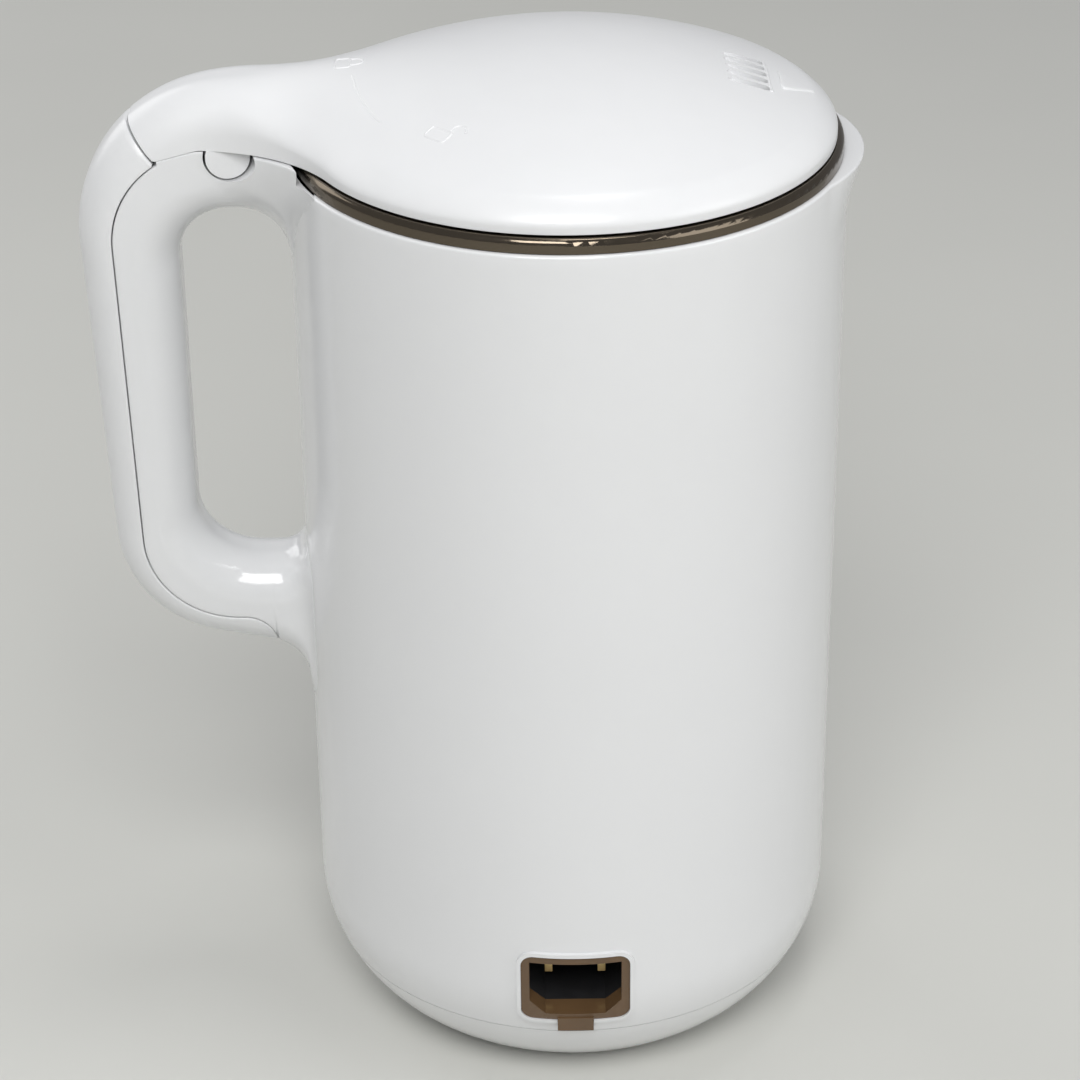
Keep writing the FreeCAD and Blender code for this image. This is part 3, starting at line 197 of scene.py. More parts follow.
class MarkSizes(bpy.types.PropertyGroup):
    """Sizes of the raised marks on the lid."""

    triangle_near: length("Triangle base", "Distance from the axis to the triangle's base", 52.8)
    triangle_far: length("Triangle tip", "Distance from the axis to the triangle's tip", 62.2)
    triangle_half: length("Triangle half width", "Half of the length of the triangle's base", 6.4)
    triangle_round: length("Triangle rounding", "Rounding of the corners of the triangle's base", 0.6)
    tip_round: length("Tip rounding", "Rounding of the triangle's tip", 0.8)
    triangle_rise: length("Triangle rise", "Height of the triangle above the lid", 0.5)
    sill_place: length("Sill place", "Distance from the axis to the sill beside the vent slots", 49.8)
    sill_half: length("Sill half length", "Half of the sill's length", 9.8)
    sill_width: length("Sill width", "Width of the sill", 0.9)
    sill_rise: length("Sill rise", "Height of the sill above the lid", 0.4)
    line_width: length("Line width", "Width of the arc's and the padlocks' lines", 0.7)
    arc_reach: length("Arc reach", "Radius of the arc between the padlocks", 53.0)
    arc_start: angle("Arc start", "Turn about the axis where the arc starts", 188.0)
    arc_end: angle("Arc end", "Turn about the axis where the arc ends", 212.0)
    arc_rise: length("Arc rise", "Height of the arc above the lid", 0.2)
    lock_size: length("Padlock size", "Width of a padlock's body", 6.0)
    lock_rise: length("Padlock rise", "Height of the padlocks' lines above the lid", 0.25)
    locked_reach: length("Locked reach", "Distance from the axis to the locked padlock", 54.0)
    locked_turn: angle("Locked turn", "Turn of the locked padlock about the axis", 180.0)
    open_reach: length("Open reach", "Distance from the axis to the open padlock", 47.0)
    open_turn: angle("Open turn", "Turn of the open padlock about the axis", 230.0)


class FinishColours(bpy.types.PropertyGroup):
    """Colours of the finishes."""

    casing_white: colour("Casing white", "Gloss white of the casing", (0.76, 0.765, 0.77))
    lid_white: colour("Lid white", "Satin white of the lid and the handle cover", (0.78, 0.785, 0.79))
    inner_plastic: colour("Inner plastic", "Plain plastic of the inner pieces", (0.62, 0.61, 0.58))
    pot_steel: colour("Pot steel", "Polished steel of the pot and the blade", (0.62, 0.61, 0.59))
    screw_steel: colour("Screw steel", "Plated steel of the screws and the motor", (0.55, 0.55, 0.54))
    seal_silicone: colour("Silicone", "Pale silicone of the seals", (0.66, 0.65, 0.62))
    foot_rubber: colour("Rubber", "Matt rubber of the feet", (0.20, 0.20, 0.20))
    circuit_board: colour("Circuit board", "Green of the boards", (0.05, 0.19, 0.10))
    heater_aluminium: colour("Aluminium", "Cast aluminium of the heater", (0.60, 0.60, 0.60))
    motor_iron: colour("Iron", "Dark iron of the motor's core", (0.16, 0.16, 0.17))
    bush_brass: colour("Brass", "Brass of the bushes and the inlet's pins", (0.55, 0.42, 0.20))
    inlet_brown: colour("Inlet brown", "Dark amber of the inlet's liner", (0.13, 0.075, 0.035))
    inlet_black: colour("Inlet black", "Black of the inlet's socket", (0.015, 0.015, 0.016))
    panel_grey: colour("Panel grey", "Gloss grey of the control panel", (0.42, 0.43, 0.44))
    lens_amber: colour("Lens amber", "Amber of the light pipes", (0.85, 0.45, 0.10))
    floor: colour("Floor", "Pale warm floor", (0.62, 0.62, 0.585))


# Numbers and outlines

def smooth_step(value, low, high):
    """0 below low, 1 above high, and 3t^2 - 2t^3 between them."""
    t = np.clip((value - low) / (high - low), 0.0, 1.0)
    return t * t * (3.0 - 2.0 * t)


def smooth_max(first, second, blend):
    """The larger of two heights, raised by up to a quarter of the blend where they are nearly equal."""
    near = np.clip(1.0 - np.abs(first - second) / blend, 0.0, 1.0)
    return np.maximum(first, second) + near * near * blend / 4.0


def quarter_round(distance, radius):
    """How far a rounded edge draws back at a distance from it: r - sqrt(r^2 - (r - d)^2)."""
    inside = np.clip(radius - distance, 0.0, radius)
    return radius - np.sqrt(radius * radius - inside * inside)


def headings_of(turn):
    """The points of the unit circle at some turns."""
    return np.stack([np.cos(turn), np.sin(turn)], axis=1)


def full_turn(count):
    """Even turns about a full circle."""
    return np.linspace(0.0, 2.0 * math.pi, count, endpoint=False)


def spaced(stops, step):
    """Values that run through all stops, evenly spaced between neighbours, no further apart than a step."""
    runs = [
        np.linspace(low, high, max(1, math.ceil((high - low) / step)), endpoint=False)
        for low, high in zip(stops, stops[1:])
    ]
    return np.concatenate([*runs, [stops[-1]]])


def rounded_line(corners, arc_steps=28):
    """A line through corners (across, up, rounding). A rounding is an arc that touches both its sides."""
    points = [np.array([corners[0][:2]])]
    for before, corner, after in zip(corners, corners[1:], corners[2:]):
        here = np.array(corner[:2])
        rounding = corner[2] if len(corner) == 3 else 0.0
        back = np.array(before[:2]) - here
        back /= np.linalg.norm(back)
        on = np.array(after[:2]) - here
        on /= np.linalg.norm(on)
        half = math.acos(np.clip(back @ on, -1.0, 1.0)) / 2.0
        if rounding == 0.0 or half > math.pi / 2.0 - 1e-6:
            points.append(here[None])
            continue
        middle = back + on
        centre = here + middle / np.linalg.norm(middle) * rounding / math.sin(half)
        start = here + back * rounding / math.tan(half) - centre
        end = here + on * rounding / math.tan(half) - centre
        first = math.atan2(start[1], start[0])
        sweep = (math.atan2(end[1], end[0]) - first + math.pi) % (2.0 * math.pi) - math.pi
        turn = first + sweep * np.linspace(0.0, 1.0, arc_steps)
        points.append(centre + rounding * headings_of(turn))
    points.append(np.array([corners[-1][:2]]))
    return np.concatenate(points)


def reach_along(pivots, headings, line):
    """Distance from each pivot, along its heading, to the nearest crossing with a line of points."""
    start = line[:-1]
    step = line[1:] - start
    gap = start[None] - pivots[:, None]
    cross = headings[:, None, 0] * step[None, :, 1] - headings[:, None, 1] * step[None, :, 0]
    parallel = np.abs(cross) < PARALLEL_LIMIT
    safe = np.where(parallel, 1.0, cross)
    along = (gap[..., 0] * step[None, :, 1] - gap[..., 1] * step[None, :, 0]) / safe
    share = (gap[..., 0] * headings[:, None, 1] - gap[..., 1] * headings[:, None, 0]) / safe
    hit = ~parallel & (share >= -END_SLACK) & (share <= 1.0 + END_SLACK) & (along > 0.0)
    return np.where(hit, along, np.inf).min(axis=1)


# Meshes and objects

def grid_faces(rows, columns, closed_rows=False, closed_columns=False):
    """Corner numbers of the quads between neighbouring points of a grid."""
    row = np.arange(rows if closed_rows else rows - 1)
    column = np.arange(columns if closed_columns else columns - 1)
    i, j = np.meshgrid(row, column, indexing="ij")
    after_i = (i + 1) % rows
    after_j = (j + 1) % columns
    corners = [i * columns + j, i * columns + after_j, after_i * columns + after_j, after_i * columns + j]
    return np.stack(corners, axis=-1)


def new_object(name, points, faces, caps=()):
    """An object of points and faces: doubles merged, faces turned outwards, soft shading by angle."""
    mesh = bpy.data.meshes.new(name)
    all_faces = faces.reshape(-1, 4).tolist() + [list(cap) for cap in caps]
    mesh.from_pydata(points.reshape(-1, 3), [], all_faces)
    shape = bmesh.new()
    shape.from_mesh(mesh)
    bmesh.ops.remove_doubles(shape, verts=shape.verts, dist=MERGE_DISTANCE)
    bmesh.ops.dissolve_degenerate(shape, edges=shape.edges, dist=EDGE_LIMIT)
    bmesh.ops.recalc_face_normals(shape, faces=shape.faces)
    shape.to_mesh(mesh)
    shape.free()
    mesh.shade_smooth()
    mesh.set_sharp_from_angle(angle=SMOOTH_LIMIT)
    item = bpy.data.objects.new(name, mesh)
    bpy.context.scene.collection.objects.link(item)
    return item


def ring_solid(name, rings):
    """A closed solid through rings of points, with a flat cap on its first and last ring."""
    rows, columns = rings.shape[:2]
    faces = grid_faces(rows, columns, closed_columns=True)
    last = (rows - 1) * columns
    return new_object(name, rings, faces, [range(columns), range(last, last + columns)])


def carve(item, *cutters):
    """Applies an object's modifiers, cuts other solids out of it for good, and removes them."""
    for cutter in cutters:
        cut = item.modifiers.new(cutter.name, "BOOLEAN")
        cut.operation = "DIFFERENCE"
        cut.solver = "EXACT"
        cut.object = cutter
    bpy.context.view_layer.update()
    ready = item.evaluated_get(bpy.context.evaluated_depsgraph_get())
    mesh = bpy.data.meshes.new_from_object(ready)
    item.modifiers.clear()
    item.data = mesh
    for cutter in cutters:
        bpy.data.objects.remove(cutter)
    mesh.shade_smooth()
    mesh.set_sharp_from_angle(angle=SMOOTH_LIMIT)
    if not mesh.polygons:
        raise RuntimeError(f"cutting {item.name} left nothing")


def finish_of(name):
    """The material of a finish."""
    return bpy.data.materials[f"{name}_finish"]


def dress(item, body, slot, finish=None, replaced=()):
    """Gives a new piece the finish of its slot, or another finish, puts it on its body and hides the CAD
    nodes that it stands for.
    """
    item.data.materials.clear()
    item.data.materials.append(finish_of(finish or slot))
    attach(item, body)
    if replaced:
        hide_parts(*replaced)
    return item


# Finishes

@dataclass
class Finish:
    """What a finish needs: its roughness and how far that varies, its grain's scale and depth, whether it is
    metal, its coat, how far its shade varies, its grain's stretch, and the height above which a painted dark
    reflection darkens it."""

    rough: float
    spread: float
    grain: float
    depth: float
    metal: float = 0.0
    coat: float = 0.0
    shade: float = 0.03
    stretch: tuple = (1.0, 1.0, 1.0)
    # Height above which a painted dark reflection darkens the colour; None for no painted reflection
    painted_reflection_height: float = None


# Painted reflection: above its lower edge, the dark brown reflection of the room painted on the pot's
# polished rim has these shares of the finish's red, green and blue
PAINTED_REFLECTION_TINT = (0.22, 0.185, 0.145)
# How soft the lower edge of the painted dark reflection is, and the height on the pot's rim where it starts
PAINTED_REFLECTION_SOFTNESS = 0.0005
POT_PAINTED_REFLECTION_HEIGHT = 0.2462
BRUSHED = (1.0, 1.0, 8.0)
# The part of the noise's range that colour and shine follow
NOISE_RANGE = (0.3, 0.7)
# How many times coarser than the grain the noise of the colour and of the shine is
COLOUR_COARSENESS = 12.0
SHINE_COARSENESS = 4.0
BUMP_STRENGTH = 0.5

FINISHES = {
    "casing_white": Finish(0.13, 0.02, 240.0, 0.000006, coat=0.25, shade=0.006),
    "lid_white": Finish(0.31, 0.02, 1400.0, 0.000002, shade=0.006),
    "inner_plastic": Finish(0.50, 0.06, 900.0, 0.00006),
    # The pot's rim above its height carries a painted dark reflection of the room
    "pot_steel": Finish(0.13, 0.05, 500.0, 0.00002, metal=1.0, shade=0.08, stretch=BRUSHED, painted_reflection_height=POT_PAINTED_REFLECTION_HEIGHT),
    "screw_steel": Finish(0.35, 0.06, 700.0, 0.00004, metal=1.0, shade=0.08),
    "seal_silicone": Finish(0.55, 0.06, 500.0, 0.00006),
    "foot_rubber": Finish(0.78, 0.08, 1500.0, 0.00010, shade=0.08),
    "circuit_board": Finish(0.40, 0.10, 350.0, 0.00008, shade=0.20),
    "heater_aluminium": Finish(0.42, 0.08, 600.0, 0.00008, metal=1.0, shade=0.08),
    "motor_iron": Finish(0.55, 0.08, 500.0, 0.00006, metal=0.6, shade=0.10),
    "bush_brass": Finish(0.34, 0.06, 700.0, 0.00003, metal=1.0, shade=0.08),
    "inlet_brown": Finish(0.20, 0.06, 700.0, 0.00004, coat=0.2, shade=0.15),
    "inlet_black": Finish(0.48, 0.08, 1200.0, 0.00005, shade=0.10),
    "panel_grey": Finish(0.15, 0.04, 300.0, 0.00002, coat=0.4, shade=0.03),
    "lens_amber": Finish(0.12, 0.04, 400.0, 0.00002, coat=0.5, shade=0.06),
    "floor": Finish(0.62, 0.08, 30.0, 0.00010, shade=0.02),
}


def map_range(nodes, low, high, new_low=0.0, new_high=1.0):
    """A node that carries the range from low to high over to a new one, and stops at its ends."""
    node = nodes.new("ShaderNodeMapRange")
    values = {"From Min": low, "From Max": high, "To Min": new_low, "To Max": new_high}
    for socket, value in values.items():
        node.inputs[socket].default_value = value
    return node


def paint_dark_reflection(tree, place, plain, tint, height):
    """Painted reflection: the plain colour below a height, and above it a darker colour that paints in the
    steel's dark reflection of the room.
    """
    split = tree.nodes.new("ShaderNodeSeparateXYZ")
    tree.links.new(place, split.inputs["Vector"])
    above = map_range(tree.nodes, height, height + PAINTED_REFLECTION_SOFTNESS)
    tree.links.new(split.outputs["Z"], above.inputs["Value"])
    mix = tree.nodes.new("ShaderNodeMix")
    mix.data_type = "RGBA"
    sockets = {socket.name: socket for socket in mix.inputs if socket.type == "RGBA"}
    sockets["B"].default_value = [channel * weight for channel, weight in zip(tint, PAINTED_REFLECTION_TINT)] + [1.0]
    tree.links.new(above.outputs["Result"], mix.inputs[0])
    tree.links.new(plain, sockets["A"])
    return [socket for socket in mix.outputs if socket.type == "RGBA"][0]


def make_finish(name, tint, finish):
    """A material whose colour, shine and bump each follow noise on Object coordinates."""
    material = bpy.data.materials.new(f"{name}_finish")
    material.use_nodes = True
    tree = material.node_tree
    nodes = tree.nodes
    links = tree.links
    shader = nodes["Principled BSDF"]
    shader.inputs["Metallic"].default_value = finish.metal
    shader.inputs["Coat Weight"].default_value = finish.coat
    shader.inputs["Coat Roughness"].default_value = finish.rough / 2.0
    place = nodes.new("ShaderNodeTexCoord").outputs["Object"]
    stretch = nodes.new("ShaderNodeMapping")
    stretch.inputs["Scale"].default_value = finish.stretch
    links.new(place, stretch.inputs["Vector"])

    def noise(scale, detail):
        node = nodes.new("ShaderNodeTexNoise")
        node.inputs["Scale"].default_value = scale
        node.inputs["Detail"].default_value = detail
        links.new(stretch.outputs["Vector"], node.inputs["Vector"])
        return node.outputs["Fac"]

    tones = nodes.new("ShaderNodeValToRGB")
    shades = (1.0 - finish.shade, 1.0 + finish.shade)
    for tone, position, shade in zip(tones.color_ramp.elements, NOISE_RANGE, shades):
        tone.position = position
        tone.color = [min(1.0, channel * shade) for channel in tint] + [1.0]
    links.new(noise(finish.grain / COLOUR_COARSENESS, 4.0), tones.inputs["Fac"])
    colour_out = tones.outputs["Color"]
    # Above the finish's height the colour is darkened by a painted dark reflection
    if finish.painted_reflection_height:
        colour_out = paint_dark_reflection(tree, place, colour_out, tint, finish.painted_reflection_height)
    links.new(colour_out, shader.inputs["Base Color"])
    shine = map_range(nodes, *NOISE_RANGE, finish.rough - finish.spread, finish.rough + finish.spread)
    links.new(noise(finish.grain / SHINE_COARSENESS, 3.0), shine.inputs["Value"])
    links.new(shine.outputs["Result"], shader.inputs["Roughness"])
    bump = nodes.new("ShaderNodeBump")
    bump.inputs["Strength"].default_value = BUMP_STRENGTH
    bump.inputs["Distance"].default_value = finish.depth
    links.new(noise(finish.grain, 2.0), bump.inputs["Height"])
    links.new(bump.outputs["Normal"], shader.inputs["Normal"])


# Casing

TURN_STEP = math.radians(1.25)
HEIGHT_STEP = 0.0025
RIM_STEPS = 5
# The power by which the pouring lip eases into the wall below it
LIP_EASE = 1.4


def heel_line(sizes):
    """The casing's outside from the rim to the middle of the bottom, as radius and height."""
    upper = sizes.stand_height + sizes.heel_height
    lower = sizes.radius - sizes.heel_width
    return rounded_line([
        (sizes.radius, sizes.rim_height),
        (sizes.radius, upper, sizes.heel_upper_round),
        (lower, sizes.stand_height, sizes.heel_lower_round),
        (0.0, sizes.stand_height),
    ], arc_steps=48)


def lip_bump(sizes, turn, height):
    """How far the pouring lip stands out of the wall: the part of a smaller circle, whose middle lies
    towards the lip, that reaches past the casing's circle, easing to nothing down the wall."""
    turn = turn - sizes.lip_turn
    shift = sizes.radius + sizes.lip_reach - sizes.lip_radius
    beside = np.clip(sizes.lip_radius ** 2 - (shift * np.sin(turn)) ** 2, 0.0, None)
    past = shift * np.cos(turn) + np.sqrt(beside) - sizes.radius
    bump = np.maximum(smooth_max(past, np.zeros_like(past), sizes.lip_blend) - sizes.lip_blend / 4.0, 0.0)
    depth = np.clip((sizes.rim_height - height) / sizes.lip_depth, 0.0, 1.0)
    return np.where(np.cos(turn) > 0.0, bump * (1.0 - depth) ** LIP_EASE, 0.0)


def casing_surface(sizes, low):
    """Casing: radius(height) of the heel line plus the lip's bump, turned about the axis.
    The first rows are the flat of the rim and its rounded edge. Two rectangles are left open."""
    quarter = math.pi / 2.0
    inlet_half = math.asin(sizes.inlet_half_width / sizes.radius)
    panel_half = math.asin(sizes.panel_half_width / sizes.radius)
    inlet_low = sizes.inlet_height - sizes.inlet_half_tall
    inlet_high = sizes.inlet_height + sizes.inlet_half_tall
    turns = spaced([
        -quarter - inlet_half, -quarter + inlet_half, quarter - panel_half, quarter + panel_half,
        3.0 * quarter - inlet_half,
    ], TURN_STEP)[:-1]
    edge_low = sizes.rim_height - sizes.rim_round
    heights = spaced([
        low, inlet_low, sizes.panel_low, inlet_high, sizes.panel_high,
        sizes.rim_height - sizes.lip_depth, edge_low,
    ], HEIGHT_STEP)[::-1]
    line = heel_line(sizes)[::-1]
    rim_turn = np.linspace(0.0, quarter, RIM_STEPS)
    draw_back = np.concatenate([sizes.rim_round * (1.0 - np.sin(rim_turn)), np.zeros(len(heights) - 1)])
    heights = np.concatenate([edge_low + sizes.rim_round * np.cos(rim_turn), heights[1:]])
    turn, height = np.meshgrid(turns, heights, indexing="ij")
    radius = np.interp(height, line[:, 1], line[:, 0]) + lip_bump(sizes, turn, height) - draw_back[None]
    inner = np.full((len(turns), 1), sizes.radius - sizes.wall)
    radius = np.concatenate([inner, radius], axis=1)
    height = np.concatenate([height[:, :1], height], axis=1)
    turn = np.concatenate([turn[:, :1], turn], axis=1)
    points = np.stack([radius * np.cos(turn), radius * np.sin(turn), height], axis=-1)
    faces = grid_faces(*height.shape, closed_rows=True)
    across, deep, up = np.moveaxis(points.reshape(-1, 3)[faces].mean(axis=2), -1, 0)

    def inside(half_width, low_edge, high_edge):
        return (np.abs(across) < half_width) & (up > low_edge) & (up < high_edge)

    in_inlet = inside(sizes.inlet_half_width, inlet_low, inlet_high) & (deep < 0.0)
    in_panel = inside(sizes.panel_half_width, sizes.panel_low, sizes.panel_high) & (deep > 0.0)
    return points, faces[~(in_inlet | in_panel)]


class SOUPMAKER_OT_casing(bpy.types.Operator):
    """Builds the casing's round wall with its heel, rim and pouring lip"""

    bl_idname = "soupmaker.casing"
    bl_label = "Casing"

    def execute(self, context):
        sizes = context.scene.casing_sizes
        points, faces = casing_surface(sizes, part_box("casing")[0].z)
        item = new_object("casing_body", points, faces)
        outward = sum(f.normal.x * f.center.x + f.normal.y * f.center.y for f in item.data.polygons)
        if outward < 0.0:
            item.data.flip_normals()
        wall = item.modifiers.new("wall", "SOLIDIFY")
        wall.thickness = sizes.wall
        wall.offset = -1.0
        carve(item)
        dress(item, "base", "casing_white", replaced=["casing"])
        return {"FINISHED"}


# Handle

# How far the arms run on inside the wall, and how far their pivots lie inside the window
ARM_OVERLAP = 0.008
PIVOT_DEPTH = 0.020
# How many sections the upper arm, the upper corner, the grip, the lower corner and the lower arm have
SECTION_COUNTS = (26, 90, 40, 60, 30)
# How many points a section has along each side, and across its outer and inner face
SIDE_POINTS = 40
FACE_POINTS = 9
# The largest share of a section's depth that one rounded edge takes
ROUND_SHARE = 0.49
# How far below the window's top the upper arm starts to flare, and the share of the flare's arc in use
FLARE_DROP = 0.006
FLARE_SHARE = 0.93
# How far the key's channel runs on behind the key, and how many rings and points it has
CHANNEL_REAR = 0.010
CHANNEL_RINGS = 40
CHANNEL_POINTS = 56
# Heights between which the casing's inside is cut out of the handle
WALL_CUT = (0.05, 0.30)
# The gap between the tongue's end and the cover, as a turn about the upper pivot
END_GAP = math.radians(0.6)


def handle_lines(sizes):
    """The handle's outer and inner outline as seen from the side, as across and up."""
    under_root = sizes.underside_height - sizes.underside_fall
    under_end = under_root - sizes.root_under_round
    top_end = sizes.window_top - sizes.root_top_round
    bottom_end = sizes.window_bottom + sizes.root_bottom_round
    outer = rounded_line([
        (-sizes.crest_end, sizes.crest_height + sizes.crest_rise),
        (-sizes.reach, sizes.crest_height, sizes.upper_round),
        (-sizes.foot_reach, sizes.underside_height, sizes.lower_round),
        (-sizes.root_line, under_root, sizes.root_under_round),
        (-sizes.root_line, under_end),
        (-sizes.crest_end, under_end),
    ], arc_steps=64)
    inner = rounded_line([
        (-sizes.crest_end, top_end),
        (-sizes.root_line, top_end),
        (-sizes.root_line, sizes.window_top, sizes.root_top_round),
        (-sizes.inner_reach, sizes.window_top, sizes.window_round),
        (-sizes.inner_reach, sizes.window_bottom, sizes.window_low_round),
        (-sizes.root_line, sizes.window_bottom, sizes.root_bottom_round),
        (-sizes.root_line, bottom_end),
        (-sizes.crest_end, bottom_end),
    ], arc_steps=48)
    return outer, inner


def parting_line(sizes, lid):
    """The line that parts the cover from the grip, from the tongue's end to the cover's lower end."""
    return rounded_line([
        (-sizes.root_line, lid.level),
        (-sizes.parting_reach, lid.level, sizes.parting_upper_round),
        (-sizes.parting_foot, sizes.parting_height, sizes.parting_lower_round),
        (-sizes.cover_end, sizes.parting_height, sizes.parting_end_round),
        (-sizes.cover_end, 0.0),
    ], arc_steps=48)


def tongue_pivot(sizes, lid):
    """The point that the upper corner's sections turn about, in line with the tongue's leaning end."""
    low = sizes.window_top - sizes.window_round
    end_low = lid.level - lid.tongue_drop
    return np.array([-lid.tongue_reach + (end_low - low) * math.tan(lid.tongue_lean), low])


def handle_sections(sizes, lid):
    """Pivots and headings of the sections along the handle: down from the upper arm, round the upper
    corner, down the grip, round the lower corner and back along the lower arm."""
    upper = tongue_pivot(sizes, lid)
    lower = np.array([-sizes.inner_reach, sizes.window_bottom]) + sizes.window_low_round
    inside = -sizes.root_line + ARM_OVERLAP
    quarter = math.pi / 2.0
    top_count, bend_count, drop_count, turn_count, back_count = SECTION_COUNTS
    top = np.linspace(inside, upper[0], top_count, endpoint=False)
    bend = np.linspace(quarter, 2.0 * quarter, bend_count, endpoint=False)
    drop = np.linspace(0.0, 1.0, drop_count, endpoint=False)
    turn = np.linspace(2.0 * quarter, 3.0 * quarter, turn_count, endpoint=False)
    back = np.linspace(lower[0], inside, back_count)
    pivots = np.concatenate([
        np.stack([top, np.full_like(top, upper[1] - PIVOT_DEPTH)], axis=1),
        np.repeat(upper[None], bend_count, axis=0),
        upper + (lower - upper) * drop[:, None],
        np.repeat(lower[None], turn_count, axis=0),
        np.stack([back, np.full_like(back, lower[1] + PIVOT_DEPTH)], axis=1),
    ])
    up, along, down = (
        np.full(count, times * quarter)
        for count, times in ((top_count, 1.0), (drop_count, 2.0), (back_count, 3.0))
    )
    return pivots, np.concatenate([up, bend, along, turn, down])


def flare_radius(sizes, circle):
    """Radius of the hollow arc that leaves the arm's side at flare_start and touches a circle about the
    axis."""
    half = sizes.width / 2.0
    rest = sizes.flare_start ** 2 + half ** 2 - circle ** 2
    return rest / (2.0 * (circle - half))


def arm_spread(sizes, circle, rounding, across):
    """How far an arm widens towards a circle about the axis: r - sqrt(r^2 - d^2) along a hollow arc that
    touches both the arm's side and the circle."""
    half = sizes.width / 2.0
    start = np.sqrt(circle ** 2 - half ** 2 + 2.0 * rounding * (circle - half))
    past = np.clip(across + start, 0.0, rounding * FLARE_SHARE)
    return rounding - np.sqrt(rounding * rounding - past * past)


def section_rings(sizes, lid, casing, pivots, angles, near, far, soft, ends):
    """Rings of the handle between two distances from its outer outline.
    Across the section the half width is that of a rounded bar, w - quarter_round(depth), widened by
    arm_spread towards the casing. soft says which of the near and far edges lie on the seam, where they are
    rounded."""
    outer, inner = handle_lines(sizes)
    headings = headings_of(angles)
    out = reach_along(pivots, headings, outer)
    depth = out - reach_along(pivots, headings, inner)
    draw = quarter_round(ends, sizes.seam_round)
    start = near + draw
    finish = np.minimum(far, depth) - draw
    share = (1.0 - np.cos(np.linspace(0.0, math.pi, SIDE_POINTS))) / 2.0
    place = start[:, None] + (finish - start)[:, None] * share
    rounding = np.minimum(sizes.side_round, depth * ROUND_SHARE)[:, None]
    half = sizes.width / 2.0 - quarter_round(place, rounding)
    half = half - quarter_round(depth[:, None] - place, rounding)
    reach = out[:, None] - place
    across = pivots[:, :1] + headings[:, :1] * reach
    up = pivots[:, 1:] + headings[:, 1:] * reach
    flare = flare_radius(sizes, casing.radius) - sizes.root_spread
    spread = sizes.root_spread + flare * smooth_step(up, sizes.window_top - FLARE_DROP, lid.level)
    half = half + arm_spread(sizes, casing.radius, spread, across) - draw[:, None]
    half = half - soft[0][:, None] * quarter_round(place - start[:, None], sizes.seam_round)
    half = half - soft[1][:, None] * quarter_round(finish[:, None] - place, sizes.seam_round)
    chord = np.linspace(1.0, -1.0, FACE_POINTS)[1:-1]
    ones = np.ones_like(chord)
    ring_across = [across, across[:, -1:] * ones, across[:, ::-1], across[:, :1] * ones]
    ring_side = [half, half[:, -1:] * chord, -half[:, ::-1], -half[:, :1] * chord]
    ring_up = [up, up[:, -1:] * ones, up[:, ::-1], up[:, :1] * ones]
    return np.stack([np.concatenate(part, axis=1) for part in (ring_across, ring_side, ring_up)], axis=-1)


def distance_from_end(points):
    """Distance of each point of a line from its nearer end, along the line."""
    steps = np.linalg.norm(np.diff(points, axis=0), axis=1)
    along = np.concatenate([[0.0], np.cumsum(steps)])
    return np.minimum(along, along[-1] - along)


def lathe_cutter(name, line, steps=160):
    """A solid turned about the axis from a line of radius and height, for cutting."""
    turn = full_turn(steps)[:, None]
    radius = line[None, :, 0]
    height = np.broadcast_to(line[None, :, 1], (steps, len(line)))
    points = np.stack([radius * np.cos(turn), radius * np.sin(turn), height], axis=-1)
    return new_object(name, points, grid_faces(*height.shape, closed_rows=True))


def channel_cutter(lid, width):
    """The half-round channel of the key: a circle carried along an arc about the axis."""
    orbit = lid.key_orbit
    rear = math.asin(CHANNEL_REAR / orbit)
    front = 2.0 * math.asin(width / 2.0 / orbit)
    turn = math.pi + np.linspace(-rear, front, CHANNEL_RINGS)[:, None]
    ring = full_turn(CHANNEL_POINTS)[None]
    radius = lid.key_radius + lid.key_slack
    reach = orbit + radius * np.cos(ring)
    height = lid.level - lid.key_sink + radius * np.sin(ring) * np.ones_like(turn)
    return ring_solid("channel", np.stack([reach * np.cos(turn), reach * np.sin(turn), height], axis=-1))


